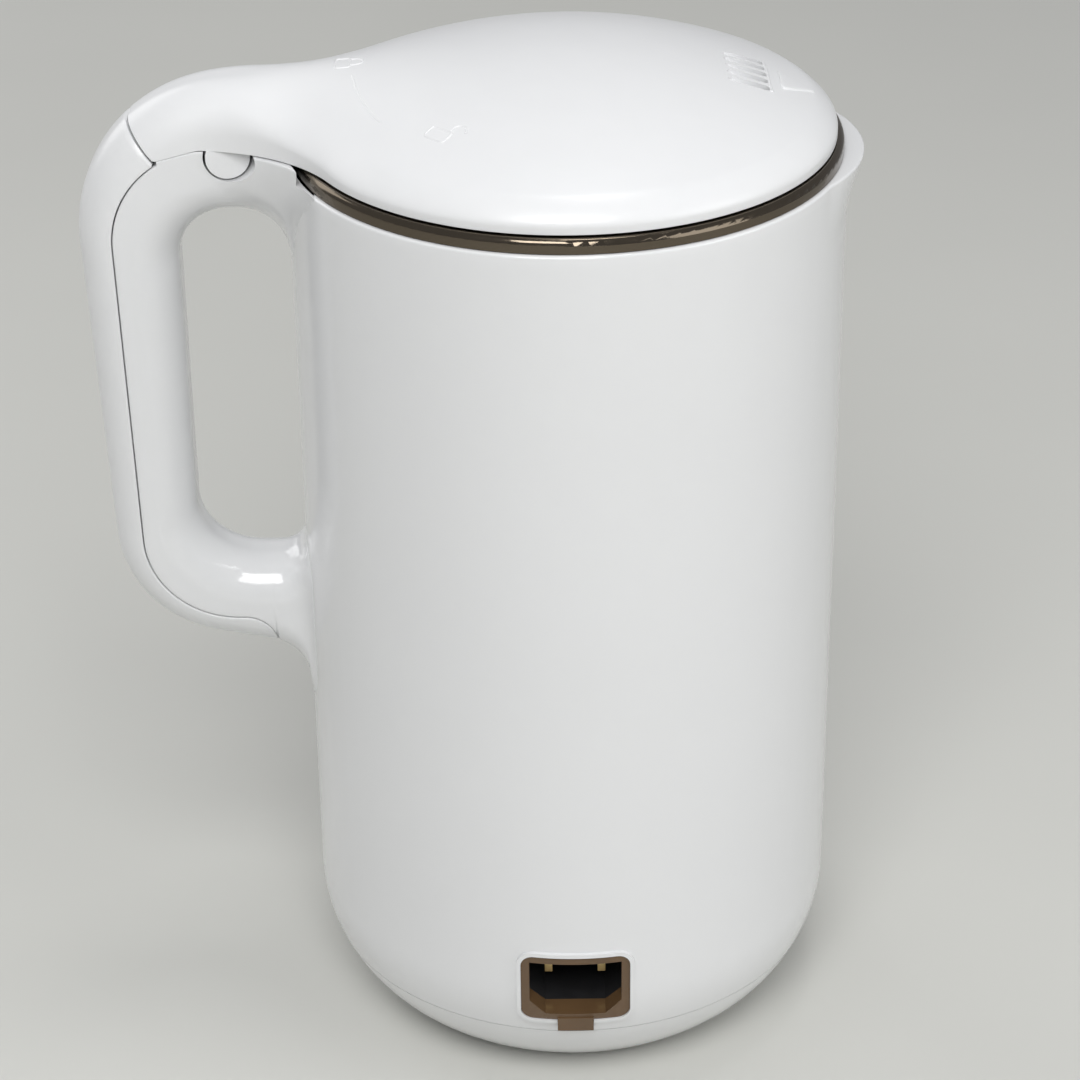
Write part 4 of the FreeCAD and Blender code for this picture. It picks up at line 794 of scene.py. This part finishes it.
class SOUPMAKER_OT_handle(bpy.types.Operator):
    """Builds the handle's grip, which is part of the casing, and the cover outside its parting line"""

    bl_idname = "soupmaker.handle"
    bl_label = "Handle"

    def execute(self, context):
        sizes = context.scene.handle_sizes
        lid = context.scene.lid_sizes
        casing = context.scene.casing_sizes
        pivots, angles = handle_sections(sizes, lid)
        headings = headings_of(angles)
        out = reach_along(pivots, headings, handle_lines(sizes)[0])
        split = out - reach_along(pivots, headings, parting_line(sizes, lid))
        lean = math.pi / 2.0 + lid.tongue_lean
        end_low = lid.level - lid.tongue_drop - lid.gap
        room = np.array([
            (-sizes.crest_end, lid.level - lid.gap),
            (-lid.tongue_bend, lid.level - lid.gap),
            (-lid.tongue_reach - lid.gap, end_low),
            (-sizes.reach, end_low),
        ])
        under_lid = angles <= lean
        past_cover = (angles > math.pi) & (pivots[:, 0] > -sizes.cover_end)
        grip_start = np.where(under_lid, out - reach_along(pivots, headings, room), split + sizes.seam_gap)
        grip_start = np.where(past_cover, 0.0, grip_start)
        whole = np.full(len(angles), np.inf)
        soft = (np.where(past_cover, 0.0, 1.0), np.zeros(len(angles)))
        rings = section_rings(sizes, lid, casing, pivots, angles, grip_start, whole, soft, whole)
        grip = ring_solid("handle_grip", rings)
        wall = casing.radius - casing.wall / 2.0
        step = casing.radius + sizes.root_step
        low, high = WALL_CUT
        carve(grip, lathe_cutter("round_wall", np.array([
            (0.0, low), (wall, low), (wall, casing.rim_height),
            (step, casing.rim_height), (step, high), (0.0, high),
        ])), channel_cutter(lid, sizes.width))
        dress(grip, "base", "casing_white", replaced=["casing"])
        shown = (angles > lean + END_GAP) & ~past_cover
        ends = distance_from_end((pivots + headings * out[:, None])[shown])
        none = np.zeros(shown.sum())
        rings = section_rings(
            sizes, lid, casing, pivots[shown], angles[shown], none, split[shown], (none, none + 1.0), ends,
        )
        cover = ring_solid("handle_cover_shell", rings)
        dress(cover, "base", "lid_white", replaced=["handle_cover"])
        return {"FINISHED"}


# Lid

# How many points the lid's circle, each flare, each side of the tongue and its end have
CIRCLE_POINTS = 230
FLARE_POINTS = 56
TONGUE_POINTS = 14
END_POINTS = 49
# Points at each corner of the tongue's end that lie too close together to be of use
CORNER_POINTS = 3
# Rounds in which the end's height and its distance from the axis settle
END_ROUNDS = 30
# How many points each ray from the axis has, and how many lie down the edge below it
RAY_POINTS = 76
EDGE_POINTS = 7
# Share of the tongue's width at which its end is measured, just inside the upright side
NEARLY_ALL = 0.999
# How many points a slot's outline and each long side of the room under the slots have
SLOT_POINTS = 28
ROOM_POINTS = 24
# The share of a slot's length from its middle to where that room starts
ROOM_START = 0.16
# How far a slot's cutter stands out of the lid
CUT_ABOVE = 0.003
# How far a mark reaches into the lid, and how far a bead's edges lie below the lid's outside
MARK_SINK = 0.0004
BEAD_SINK = 0.00003
# How many points a bead has across it and along it, and how many steps a pad has from its middle to its edge
BEAD_POINTS = 9
BEAD_STEPS = {"sill": 24, "arc": 40, "bow": 20}
PAD_STEPS = 24
# The power that keeps a pad flat up to its edge
PAD_POWER = 16


def crest_surface(sizes, across, side):
    """Height of the handle's rounded top, carried on over the lid: the crest line and its corner arc,
    lowered square to them by quarter_round at the sides."""
    slope = sizes.crest_rise / (sizes.reach - sizes.crest_end)
    stretch = math.hypot(1.0, slope)
    low = quarter_round(sizes.width / 2.0 - np.abs(side), sizes.side_round)
    grip = np.array([sizes.reach - sizes.foot_reach, sizes.underside_height - sizes.crest_height])
    grip /= np.linalg.norm(grip)
    crest = np.array([1.0, slope]) / stretch
    half = math.acos(crest @ grip) / 2.0
    middle = (crest + grip) / np.linalg.norm(crest + grip)
    centre = np.array([-sizes.reach, sizes.crest_height]) + middle * sizes.upper_round / math.sin(half)
    radius = sizes.upper_round - low
    line = sizes.crest_height + (across + sizes.reach) * slope - low * stretch
    arc = centre[1] + np.sqrt(np.clip(radius ** 2 - (across - centre[0]) ** 2, 0.0, None))
    return np.where(across > centre[0] - radius * slope / stretch, line, arc)


def lid_half_width(sizes, handle, across):
    """Half of the lid's width along the tongue: that of the circle, the hollow flare and the tongue."""
    radius = flare_radius(handle, sizes.radius)
    flare = handle.width / 2.0 + arm_spread(handle, sizes.radius, radius, across)
    circle = np.sqrt(np.clip(sizes.radius ** 2 - across ** 2, 0.0, None))
    meet = -handle.flare_start * sizes.radius / (sizes.radius + radius)
    return np.maximum(np.where(across < meet, flare, circle), 1e-6)


def lid_edge_distance(sizes, handle, across, side):
    """Distance of a point inside the lid from its outline: R - r from the circle, d - r from the flare's
    arc, whose middle lies outside the lid, and straight across from the tongue's side."""
    radius = flare_radius(handle, sizes.radius)
    half = handle.width / 2.0
    beside = np.abs(side)
    from_circle = sizes.radius - np.hypot(across, side)
    from_flare = np.hypot(across + handle.flare_start, beside - half - radius) - radius
    by_flare = beside * handle.flare_start < -across * (half + radius)
    return np.where(across < -handle.flare_start, half - beside, np.where(by_flare, from_flare, from_circle))


def dome_surface(sizes, across, side):
    """Height of the dome: a sphere's cap that levels out at the web beside the tongue."""
    rise = sizes.apex - sizes.shoulder_height
    bow = (sizes.shoulder_radius ** 2 + rise ** 2) / (2.0 * rise)
    cap = sizes.apex - bow + np.sqrt(np.clip(bow ** 2 - across ** 2 - side ** 2, 0.0, None))
    return smooth_max(cap, sizes.level + sizes.web, sizes.blend)


def lid_surface(sizes, handle, across, side):
    """Height of the lid's outside. On the dome it is dome + rise (1 + cos(pi t)) / 2, where t runs from the
    middle to the outline and rise lifts the middle to the crest. On the tongue it is the handle's top."""
    t = np.clip(np.abs(side) / lid_half_width(sizes, handle, across), 0.0, 1.0)
    middle = np.zeros_like(across)
    rise = crest_surface(handle, across, middle) - dome_surface(sizes, across, middle)
    rise = rise * (1.0 - smooth_step(across, -sizes.crest_fade, -sizes.crest_stop))
    bell = dome_surface(sizes, across, side) + rise * (1.0 + np.cos(math.pi * t)) / 2.0
    bar = crest_surface(handle, across, t * handle.width / 2.0)
    return bar + (bell - bar) * smooth_step(across, -sizes.bar_end, -sizes.bell_start)


def lid_outline(sizes, handle):
    """The lid's outline from above: circle, hollow flare, tongue's side, its end and back.
    The end lies where its leaning face meets the crest."""
    radius = flare_radius(handle, sizes.radius)
    half = handle.width / 2.0
    centre = np.array([-handle.flare_start, half + radius])
    meet = math.atan2(centre[1], centre[0])
    turn = np.linspace(-meet, meet, CIRCLE_POINTS, endpoint=False)
    circle = sizes.radius * headings_of(turn)
    hollow = np.linspace(meet - math.pi, -math.pi / 2.0, FLARE_POINTS, endpoint=False)
    flare = centre + radius * headings_of(hollow)
    side_x = np.linspace(-handle.flare_start, -sizes.tongue_reach, TONGUE_POINTS, endpoint=False)
    straight = np.stack([side_x, np.full_like(side_x, half)], axis=1)
    side = half * np.cos(np.linspace(0.0, math.pi, END_POINTS))[CORNER_POINTS:-CORNER_POINTS]
    low = sizes.level - sizes.tongue_drop
    height = np.full_like(side, low)
    for _ in range(END_ROUNDS):
        across = -sizes.tongue_reach - (height - low) * math.tan(sizes.tongue_lean)
        height = np.maximum(crest_surface(handle, across, side * NEARLY_ALL), low)
    end = np.stack([across, side], axis=1)
    mirror = np.array([1.0, -1.0])
    outline = np.concatenate([circle, flare, straight, end, straight[::-1] * mirror, flare[::-1] * mirror])
    is_end = np.zeros(len(outline), bool)
    first_end = len(circle) + len(flare) + len(straight)
    is_end[first_end:first_end + len(end)] = True
    return outline, is_end


def lid_points(sizes, handle):
    """Lid: rays from the axis to each point of the outline, at the height of lid_surface, rolled off near
    the dome's edge by an ellipse, then down the edge to the lower face."""
    outline, is_end = lid_outline(sizes, handle)
    share = np.sin(np.linspace(0.0, math.pi / 2.0, RAY_POINTS))
    plan = outline[:, None] * share[None, :, None]
    across = plan[..., 0]
    side = plan[..., 1]
    reach = np.hypot(across, side)
    bend = np.clip((reach - sizes.tongue_bend) / (sizes.tongue_reach - sizes.tongue_bend), 0.0, 1.0)
    low = sizes.level - sizes.tongue_drop * bend
    inside = np.maximum(lid_edge_distance(sizes, handle, across, side), 0.0)
    tongue = smooth_step(-across, sizes.roll_fade, sizes.roll_stop)
    roll = sizes.radius - sizes.shoulder_radius
    rolled = np.sqrt(1.0 - (1.0 - np.clip(inside / roll, 0.0, 1.0)) ** 2)
    rolled = rolled + (1.0 - rolled) * np.where(is_end[:, None], 1.0, tongue)
    edge = low + sizes.side
    height = edge + (lid_surface(sizes, handle, across, side) - edge) * rolled
    height = np.maximum(height, low + sizes.least_side)
    top = np.stack([across, side, height], axis=-1)
    drop = np.linspace(0.0, 1.0, EDGE_POINTS)[1:]
    fall = (height[:, -1:] - low[:, -1:]) * drop
    lean = np.where(is_end, math.tan(sizes.tongue_lean), 0.0)[:, None]
    beside = np.broadcast_to(side[:, -1:], fall.shape)
    skirt = np.stack([across[:, -1:] + fall * lean, beside, height[:, -1:] - fall], axis=-1)
    return np.concatenate([top, skirt], axis=1)


def about_axis(points, turn):
    """Plan points turned about the axis."""
    cosine = math.cos(turn)
    sine = math.sin(turn)
    return points @ np.array([[cosine, sine], [-sine, cosine]])


def vent_cutter(name, sizes, handle, plan, low, high):
    """A cutter over a plan by the vent, from one height to another, both measured from the lid's outside."""
    plan = about_axis(plan, sizes.vent_turn)
    surface = lid_surface(sizes, handle, plan[:, 0], plan[:, 1])
    return ring_solid(name, np.stack([np.column_stack([plan, surface + level]) for level in (low, high)]))


def slot_cutter(sizes, handle, place):
    """One vent slot: a long rounded outline whose floor falls away from the handle by fall t^2."""
    turn = full_turn(SLOT_POINTS)
    half = sizes.slot_width / 2.0
    straight = sizes.slot_length / 2.0 - half
    across = sizes.vent_place + straight * np.sign(np.cos(turn)) + half * np.cos(turn)
    t = (across - across.min()) / (across.max() - across.min())
    plan = np.stack([across, place + half * np.sin(turn)], axis=1)
    return vent_cutter(
        "vent_slot", sizes, handle, plan, -sizes.slot_depth - sizes.slot_fall * t ** 2, CUT_ABOVE,
    )


def vent_room_cutter(sizes, handle):
    """The room under the slots' deep ends: a long box that follows the lid and leaves it a thin roof."""
    side = np.linspace(-0.5, 0.5, ROOM_POINTS) * sizes.slot_count * sizes.slot_pitch
    near = np.full_like(side, sizes.vent_place + sizes.slot_length * ROOM_START)
    far = np.full_like(side, sizes.vent_place + sizes.slot_length / 2.0)
    plan = np.stack([np.concatenate([near, far]), np.concatenate([side, side[::-1]])], axis=1)
    return vent_cutter("vent_room", sizes, handle, plan, -sizes.vent_room, -sizes.vent_roof)


def bead(name, sizes, handle, path, width, rise, closed=False):
    """A low bead that follows a path on the lid: across it the height is rise times (1 - t^2)."""
    along = np.roll(path, -1, axis=0) - np.roll(path, 1, axis=0) if closed else np.gradient(path, axis=0)
    normal = np.stack([-along[:, 1], along[:, 0]], axis=1)
    normal /= np.linalg.norm(normal, axis=1)[:, None]
    t = np.linspace(-1.0, 1.0, BEAD_POINTS)
    plan = path[:, None] + normal[:, None] * (t * width / 2.0)[None, :, None]
    height = lid_surface(sizes, handle, plan[..., 0], plan[..., 1])
    top = np.concatenate([plan, (height + rise * (1.0 - t * t) - BEAD_SINK)[..., None]], axis=-1)
    bottom = np.concatenate([plan, (height - MARK_SINK)[..., None]], axis=-1)[:, ::-1]
    rings = np.concatenate([top, bottom], axis=1)
    if closed:
        return new_object(name, rings, grid_faces(*rings.shape[:2], closed_rows=True, closed_columns=True))
    return ring_solid(name, rings)


def raised_pad(name, sizes, handle, outline, rise):
    """A flat raised mark: its outline shrunk to its middle by t, at rise times sqrt(1 - t^PAD_POWER)."""
    middle = outline.mean(axis=0)
    t = np.sin(np.linspace(0.0, math.pi / 2.0, PAD_STEPS))
    plan = middle + (outline - middle)[:, None] * t[None, :, None]
    height = lid_surface(sizes, handle, plan[..., 0], plan[..., 1])
    top = np.concatenate([plan, (height + rise * np.sqrt(1.0 - t ** PAD_POWER))[..., None]], axis=-1)
    foot = top[:, -1:] - np.array([0.0, 0.0, MARK_SINK])
    points = np.concatenate([top, foot], axis=1)
    rows, columns = points.shape[:2]
    cap = np.arange(rows) * columns + columns - 1
    return new_object(name, points, grid_faces(rows, columns, closed_rows=True), [cap.tolist()])


# A padlock's lines as shares of its body's width
BODY_HALF = 0.5
BODY_TOP = 0.12
BODY_ROUND = 0.12
BOW_RADIUS = 0.32
BOW_LEG = 0.2


def padlock_paths(centre, heading, size, is_open):
    """Paths of a padlock mark: a rounded body and a bow over it. An open bow is swung out beside it."""
    bottom = (0.0, -BODY_HALF)
    corners = [
        (BODY_HALF, -BODY_HALF), (BODY_HALF, BODY_TOP), (-BODY_HALF, BODY_TOP), (-BODY_HALF, -BODY_HALF),
    ]
    body = rounded_line([bottom, *[(*corner, BODY_ROUND) for corner in corners], bottom], arc_steps=6)[:-1]
    turn = np.linspace(0.0, math.pi, BEAD_STEPS["bow"])
    swing = 2.0 * BOW_RADIUS if is_open else 0.0
    middle = np.array([swing, BODY_TOP + BOW_LEG])
    bow = middle + BOW_RADIUS * headings_of(turn)
    legs = bow[[0, -1]] - np.array([0.0, BOW_LEG])
    bow = np.concatenate([bow, legs[1:]] if is_open else [legs[:1], bow, legs[1:]])
    up = np.array([math.cos(heading), math.sin(heading)])
    right = np.array([up[1], -up[0]])
    return [centre + size * (line[:, :1] * right + line[:, 1:] * up) for line in (body, bow)]


class SOUPMAKER_OT_lid(bpy.types.Operator):
    """Builds the domed lid with its tongue and vent slots"""

    bl_idname = "soupmaker.lid"
    bl_label = "Lid"

    def execute(self, context):
        sizes = context.scene.lid_sizes
        handle = context.scene.handle_sizes
        points = lid_points(sizes, handle)
        item = new_object("lid_shell", points, grid_faces(*points.shape[:2], closed_rows=True))
        if sum(f.normal.z * f.area for f in item.data.polygons) < 0.0:
            item.data.flip_normals()
        wall = item.modifiers.new("wall", "SOLIDIFY")
        wall.thickness = sizes.wall
        wall.offset = -1.0
        rows = (np.arange(sizes.slot_count) - (sizes.slot_count - 1) / 2.0) * sizes.slot_pitch
        carve(item, vent_room_cutter(sizes, handle), *[slot_cutter(sizes, handle, row) for row in rows])
        dress(item, "lid", "lid_white", replaced=["lid_cover"])
        return {"FINISHED"}


class SOUPMAKER_OT_marks(bpy.types.Operator):
    """Builds the raised marks on the lid: a triangle by the vent, two padlocks and the arc between them"""

    bl_idname = "soupmaker.marks"
    bl_label = "Lid marks"

    def execute(self, context):
        marks = context.scene.mark_sizes
        sizes = context.scene.lid_sizes
        handle = context.scene.handle_sizes
        base = (marks.triangle_near, 0.0)
        triangle = rounded_line([
            base, (marks.triangle_near, marks.triangle_half, marks.triangle_round),
            (marks.triangle_far, 0.0, marks.tip_round),
            (marks.triangle_near, -marks.triangle_half, marks.triangle_round), base,
        ], arc_steps=8)[:-1]
        triangle = about_axis(triangle, sizes.vent_turn)
        items = [raised_pad("vent_triangle", sizes, handle, triangle, marks.triangle_rise)]
        side = np.linspace(-marks.sill_half, marks.sill_half, BEAD_STEPS["sill"])
        sill = about_axis(np.stack([np.full_like(side, marks.sill_place), side], axis=1), sizes.vent_turn)
        items.append(bead("vent_sill", sizes, handle, sill, marks.sill_width, marks.sill_rise))
        turn = np.linspace(marks.arc_start, marks.arc_end, BEAD_STEPS["arc"])
        arc = marks.arc_reach * headings_of(turn)
        items.append(bead("turn_arc", sizes, handle, arc, marks.line_width, marks.arc_rise))
        for name in ("locked", "open"):
            place = getattr(marks, f"{name}_turn")
            centre = getattr(marks, f"{name}_reach") * np.array([math.cos(place), math.sin(place)])
            paths = padlock_paths(centre, place + math.pi, marks.lock_size, name == "open")
            for part, path in zip(("body", "bow"), paths):
                mark = f"{name}_padlock_{part}"
                closed = part == "body"
                items.append(bead(mark, sizes, handle, path, marks.line_width, marks.lock_rise, closed))
        for item in items:
            dress(item, "lid", "lid_white")
        return {"FINISHED"}


# CAD pieces that keep their own mesh

class SOUPMAKER_OT_finishes(bpy.types.Operator):
    """Makes the finishes and gives each CAD piece the finish of its slot"""

    bl_idname = "soupmaker.finishes"
    bl_label = "Finishes"

    def execute(self, context):
        tints = context.scene.finish_colours
        for name, finish in FINISHES.items():
            make_finish(name, getattr(tints, name), finish)
        for part in frame["record"]["subparts"]:
            node = frame["nodes"][part["node"]]
            node.data.materials.clear()
            node.data.materials.append(finish_of(part["material_slot"]))
        return {"FINISHED"}


# Stage

FLOOR_HALF = 3.0
# Each lamp's place, size and power
LAMPS = {
    "key_lamp": ((-0.1, -1.2, 1.5), 0.9, 20.0),
    "fill_lamp": ((1.4, -0.7, 0.8), 1.0, 7.0),
    "top_lamp": ((0.15, 0.1, 1.9), 0.4, 4.0),
    "back_lamp": ((-1.3, 1.2, 0.9), 1.2, 8.0),
}
LAMP_TARGET = (0.0, 0.0, 0.14)
SKY_COLOUR = (0.96, 0.97, 1.0, 1.0)
SKY_STRENGTH = 0.32
# The camera that shows the object as the photo does
CAMERA_PLACE = (-0.00777, -0.74565, 0.54904)
CAMERA_YAW = 0.00025
CAMERA_PITCH = math.radians(60.877)
CAMERA_ROLL = -0.01175
CAMERA_LENS = 106.67
CAMERA_SENSOR = 36.0


def add_lamp(name, place, size, power):
    """A square soft lamp that faces the object's middle."""
    lamp = bpy.data.lights.new(name, "AREA")
    lamp.shape = "SQUARE"
    lamp.size = size
    lamp.energy = power
    item = bpy.data.objects.new(name, lamp)
    item.location = place
    item.rotation_euler = (Vector(LAMP_TARGET) - Vector(place)).to_track_quat("-Z", "Y").to_euler()
    bpy.context.scene.collection.objects.link(item)


class SOUPMAKER_OT_stage(bpy.types.Operator):
    """Adds the floor, the soft lamps, the pale surroundings and the camera"""

    bl_idname = "soupmaker.stage"
    bl_label = "Stage"

    def execute(self, context):
        scene = context.scene
        scene.view_settings.view_transform = "Standard"
        edge = np.linspace(-FLOOR_HALF, FLOOR_HALF, 3)
        across, deep = np.meshgrid(edge, edge)
        points = np.stack([across, deep, np.zeros_like(across)], axis=-1)
        floor = new_object("floor", points, grid_faces(*across.shape))
        if floor.data.polygons[0].normal.z < 0.0:
            floor.data.flip_normals()
        floor.data.materials.append(finish_of("floor"))
        for name, lamp in LAMPS.items():
            add_lamp(name, *lamp)
        world = bpy.data.worlds.new("studio")
        world.use_nodes = True
        sky = world.node_tree.nodes["Background"]
        sky.inputs["Color"].default_value = SKY_COLOUR
        sky.inputs["Strength"].default_value = SKY_STRENGTH
        scene.world = world
        lens = bpy.data.cameras.new("photo_camera")
        lens.lens = CAMERA_LENS
        lens.sensor_width = CAMERA_SENSOR
        camera = bpy.data.objects.new("photo_camera", lens)
        yaw = Matrix.Rotation(CAMERA_YAW, 3, "Z")
        pitch = Matrix.Rotation(CAMERA_PITCH, 3, "X")
        roll = Matrix.Rotation(CAMERA_ROLL, 3, "Z")
        camera.rotation_euler = (yaw @ pitch @ roll).to_euler()
        camera.location = CAMERA_PLACE
        scene.collection.objects.link(camera)
        scene.camera = camera
        return {"FINISHED"}


# Panel and running

class SOUPMAKER_PT_panel(bpy.types.Panel):
    """Lists the steps that build the soup maker and its sizes"""

    bl_idname = "SOUPMAKER_PT_panel"
    bl_label = "Soup maker"
    bl_space_type = "VIEW_3D"
    bl_region_type = "UI"
    bl_category = "Soup maker"

    def draw(self, context):
        for step in STEPS:
            self.layout.operator(step.bl_idname)
        for name in GROUPS:
            group = getattr(context.scene, name)
            box = self.layout.box()
            for key in group.__annotations__:
                box.prop(group, key)


GROUPS = {
    "casing_sizes": CasingSizes,
    "handle_sizes": HandleSizes,
    "lid_sizes": LidSizes,
    "mark_sizes": MarkSizes,
    "finish_colours": FinishColours,
}
STEPS = [
    SOUPMAKER_OT_finishes,
    SOUPMAKER_OT_casing,
    SOUPMAKER_OT_handle,
    SOUPMAKER_OT_lid,
    SOUPMAKER_OT_marks,
    SOUPMAKER_OT_stage,
]


def register():
    """Registers the classes and puts the sizes and colours on the scene."""
    for group in [*GROUPS.values(), *STEPS, SOUPMAKER_PT_panel]:
        bpy.utils.register_class(group)
    for name, group in GROUPS.items():
        setattr(bpy.types.Scene, name, bpy.props.PointerProperty(type=group))


def unregister():
    """Takes the sizes, the colours and the classes away again."""
    for name in GROUPS:
        delattr(bpy.types.Scene, name)
    for group in reversed([*GROUPS.values(), *STEPS, SOUPMAKER_PT_panel]):
        bpy.utils.unregister_class(group)


def main():
    """Builds every piece and the stage."""
    register()
    for step in STEPS:
        package, name = step.bl_idname.split(".")
        getattr(getattr(bpy.ops, package), name)()


if __name__ == "__main__":
    main()
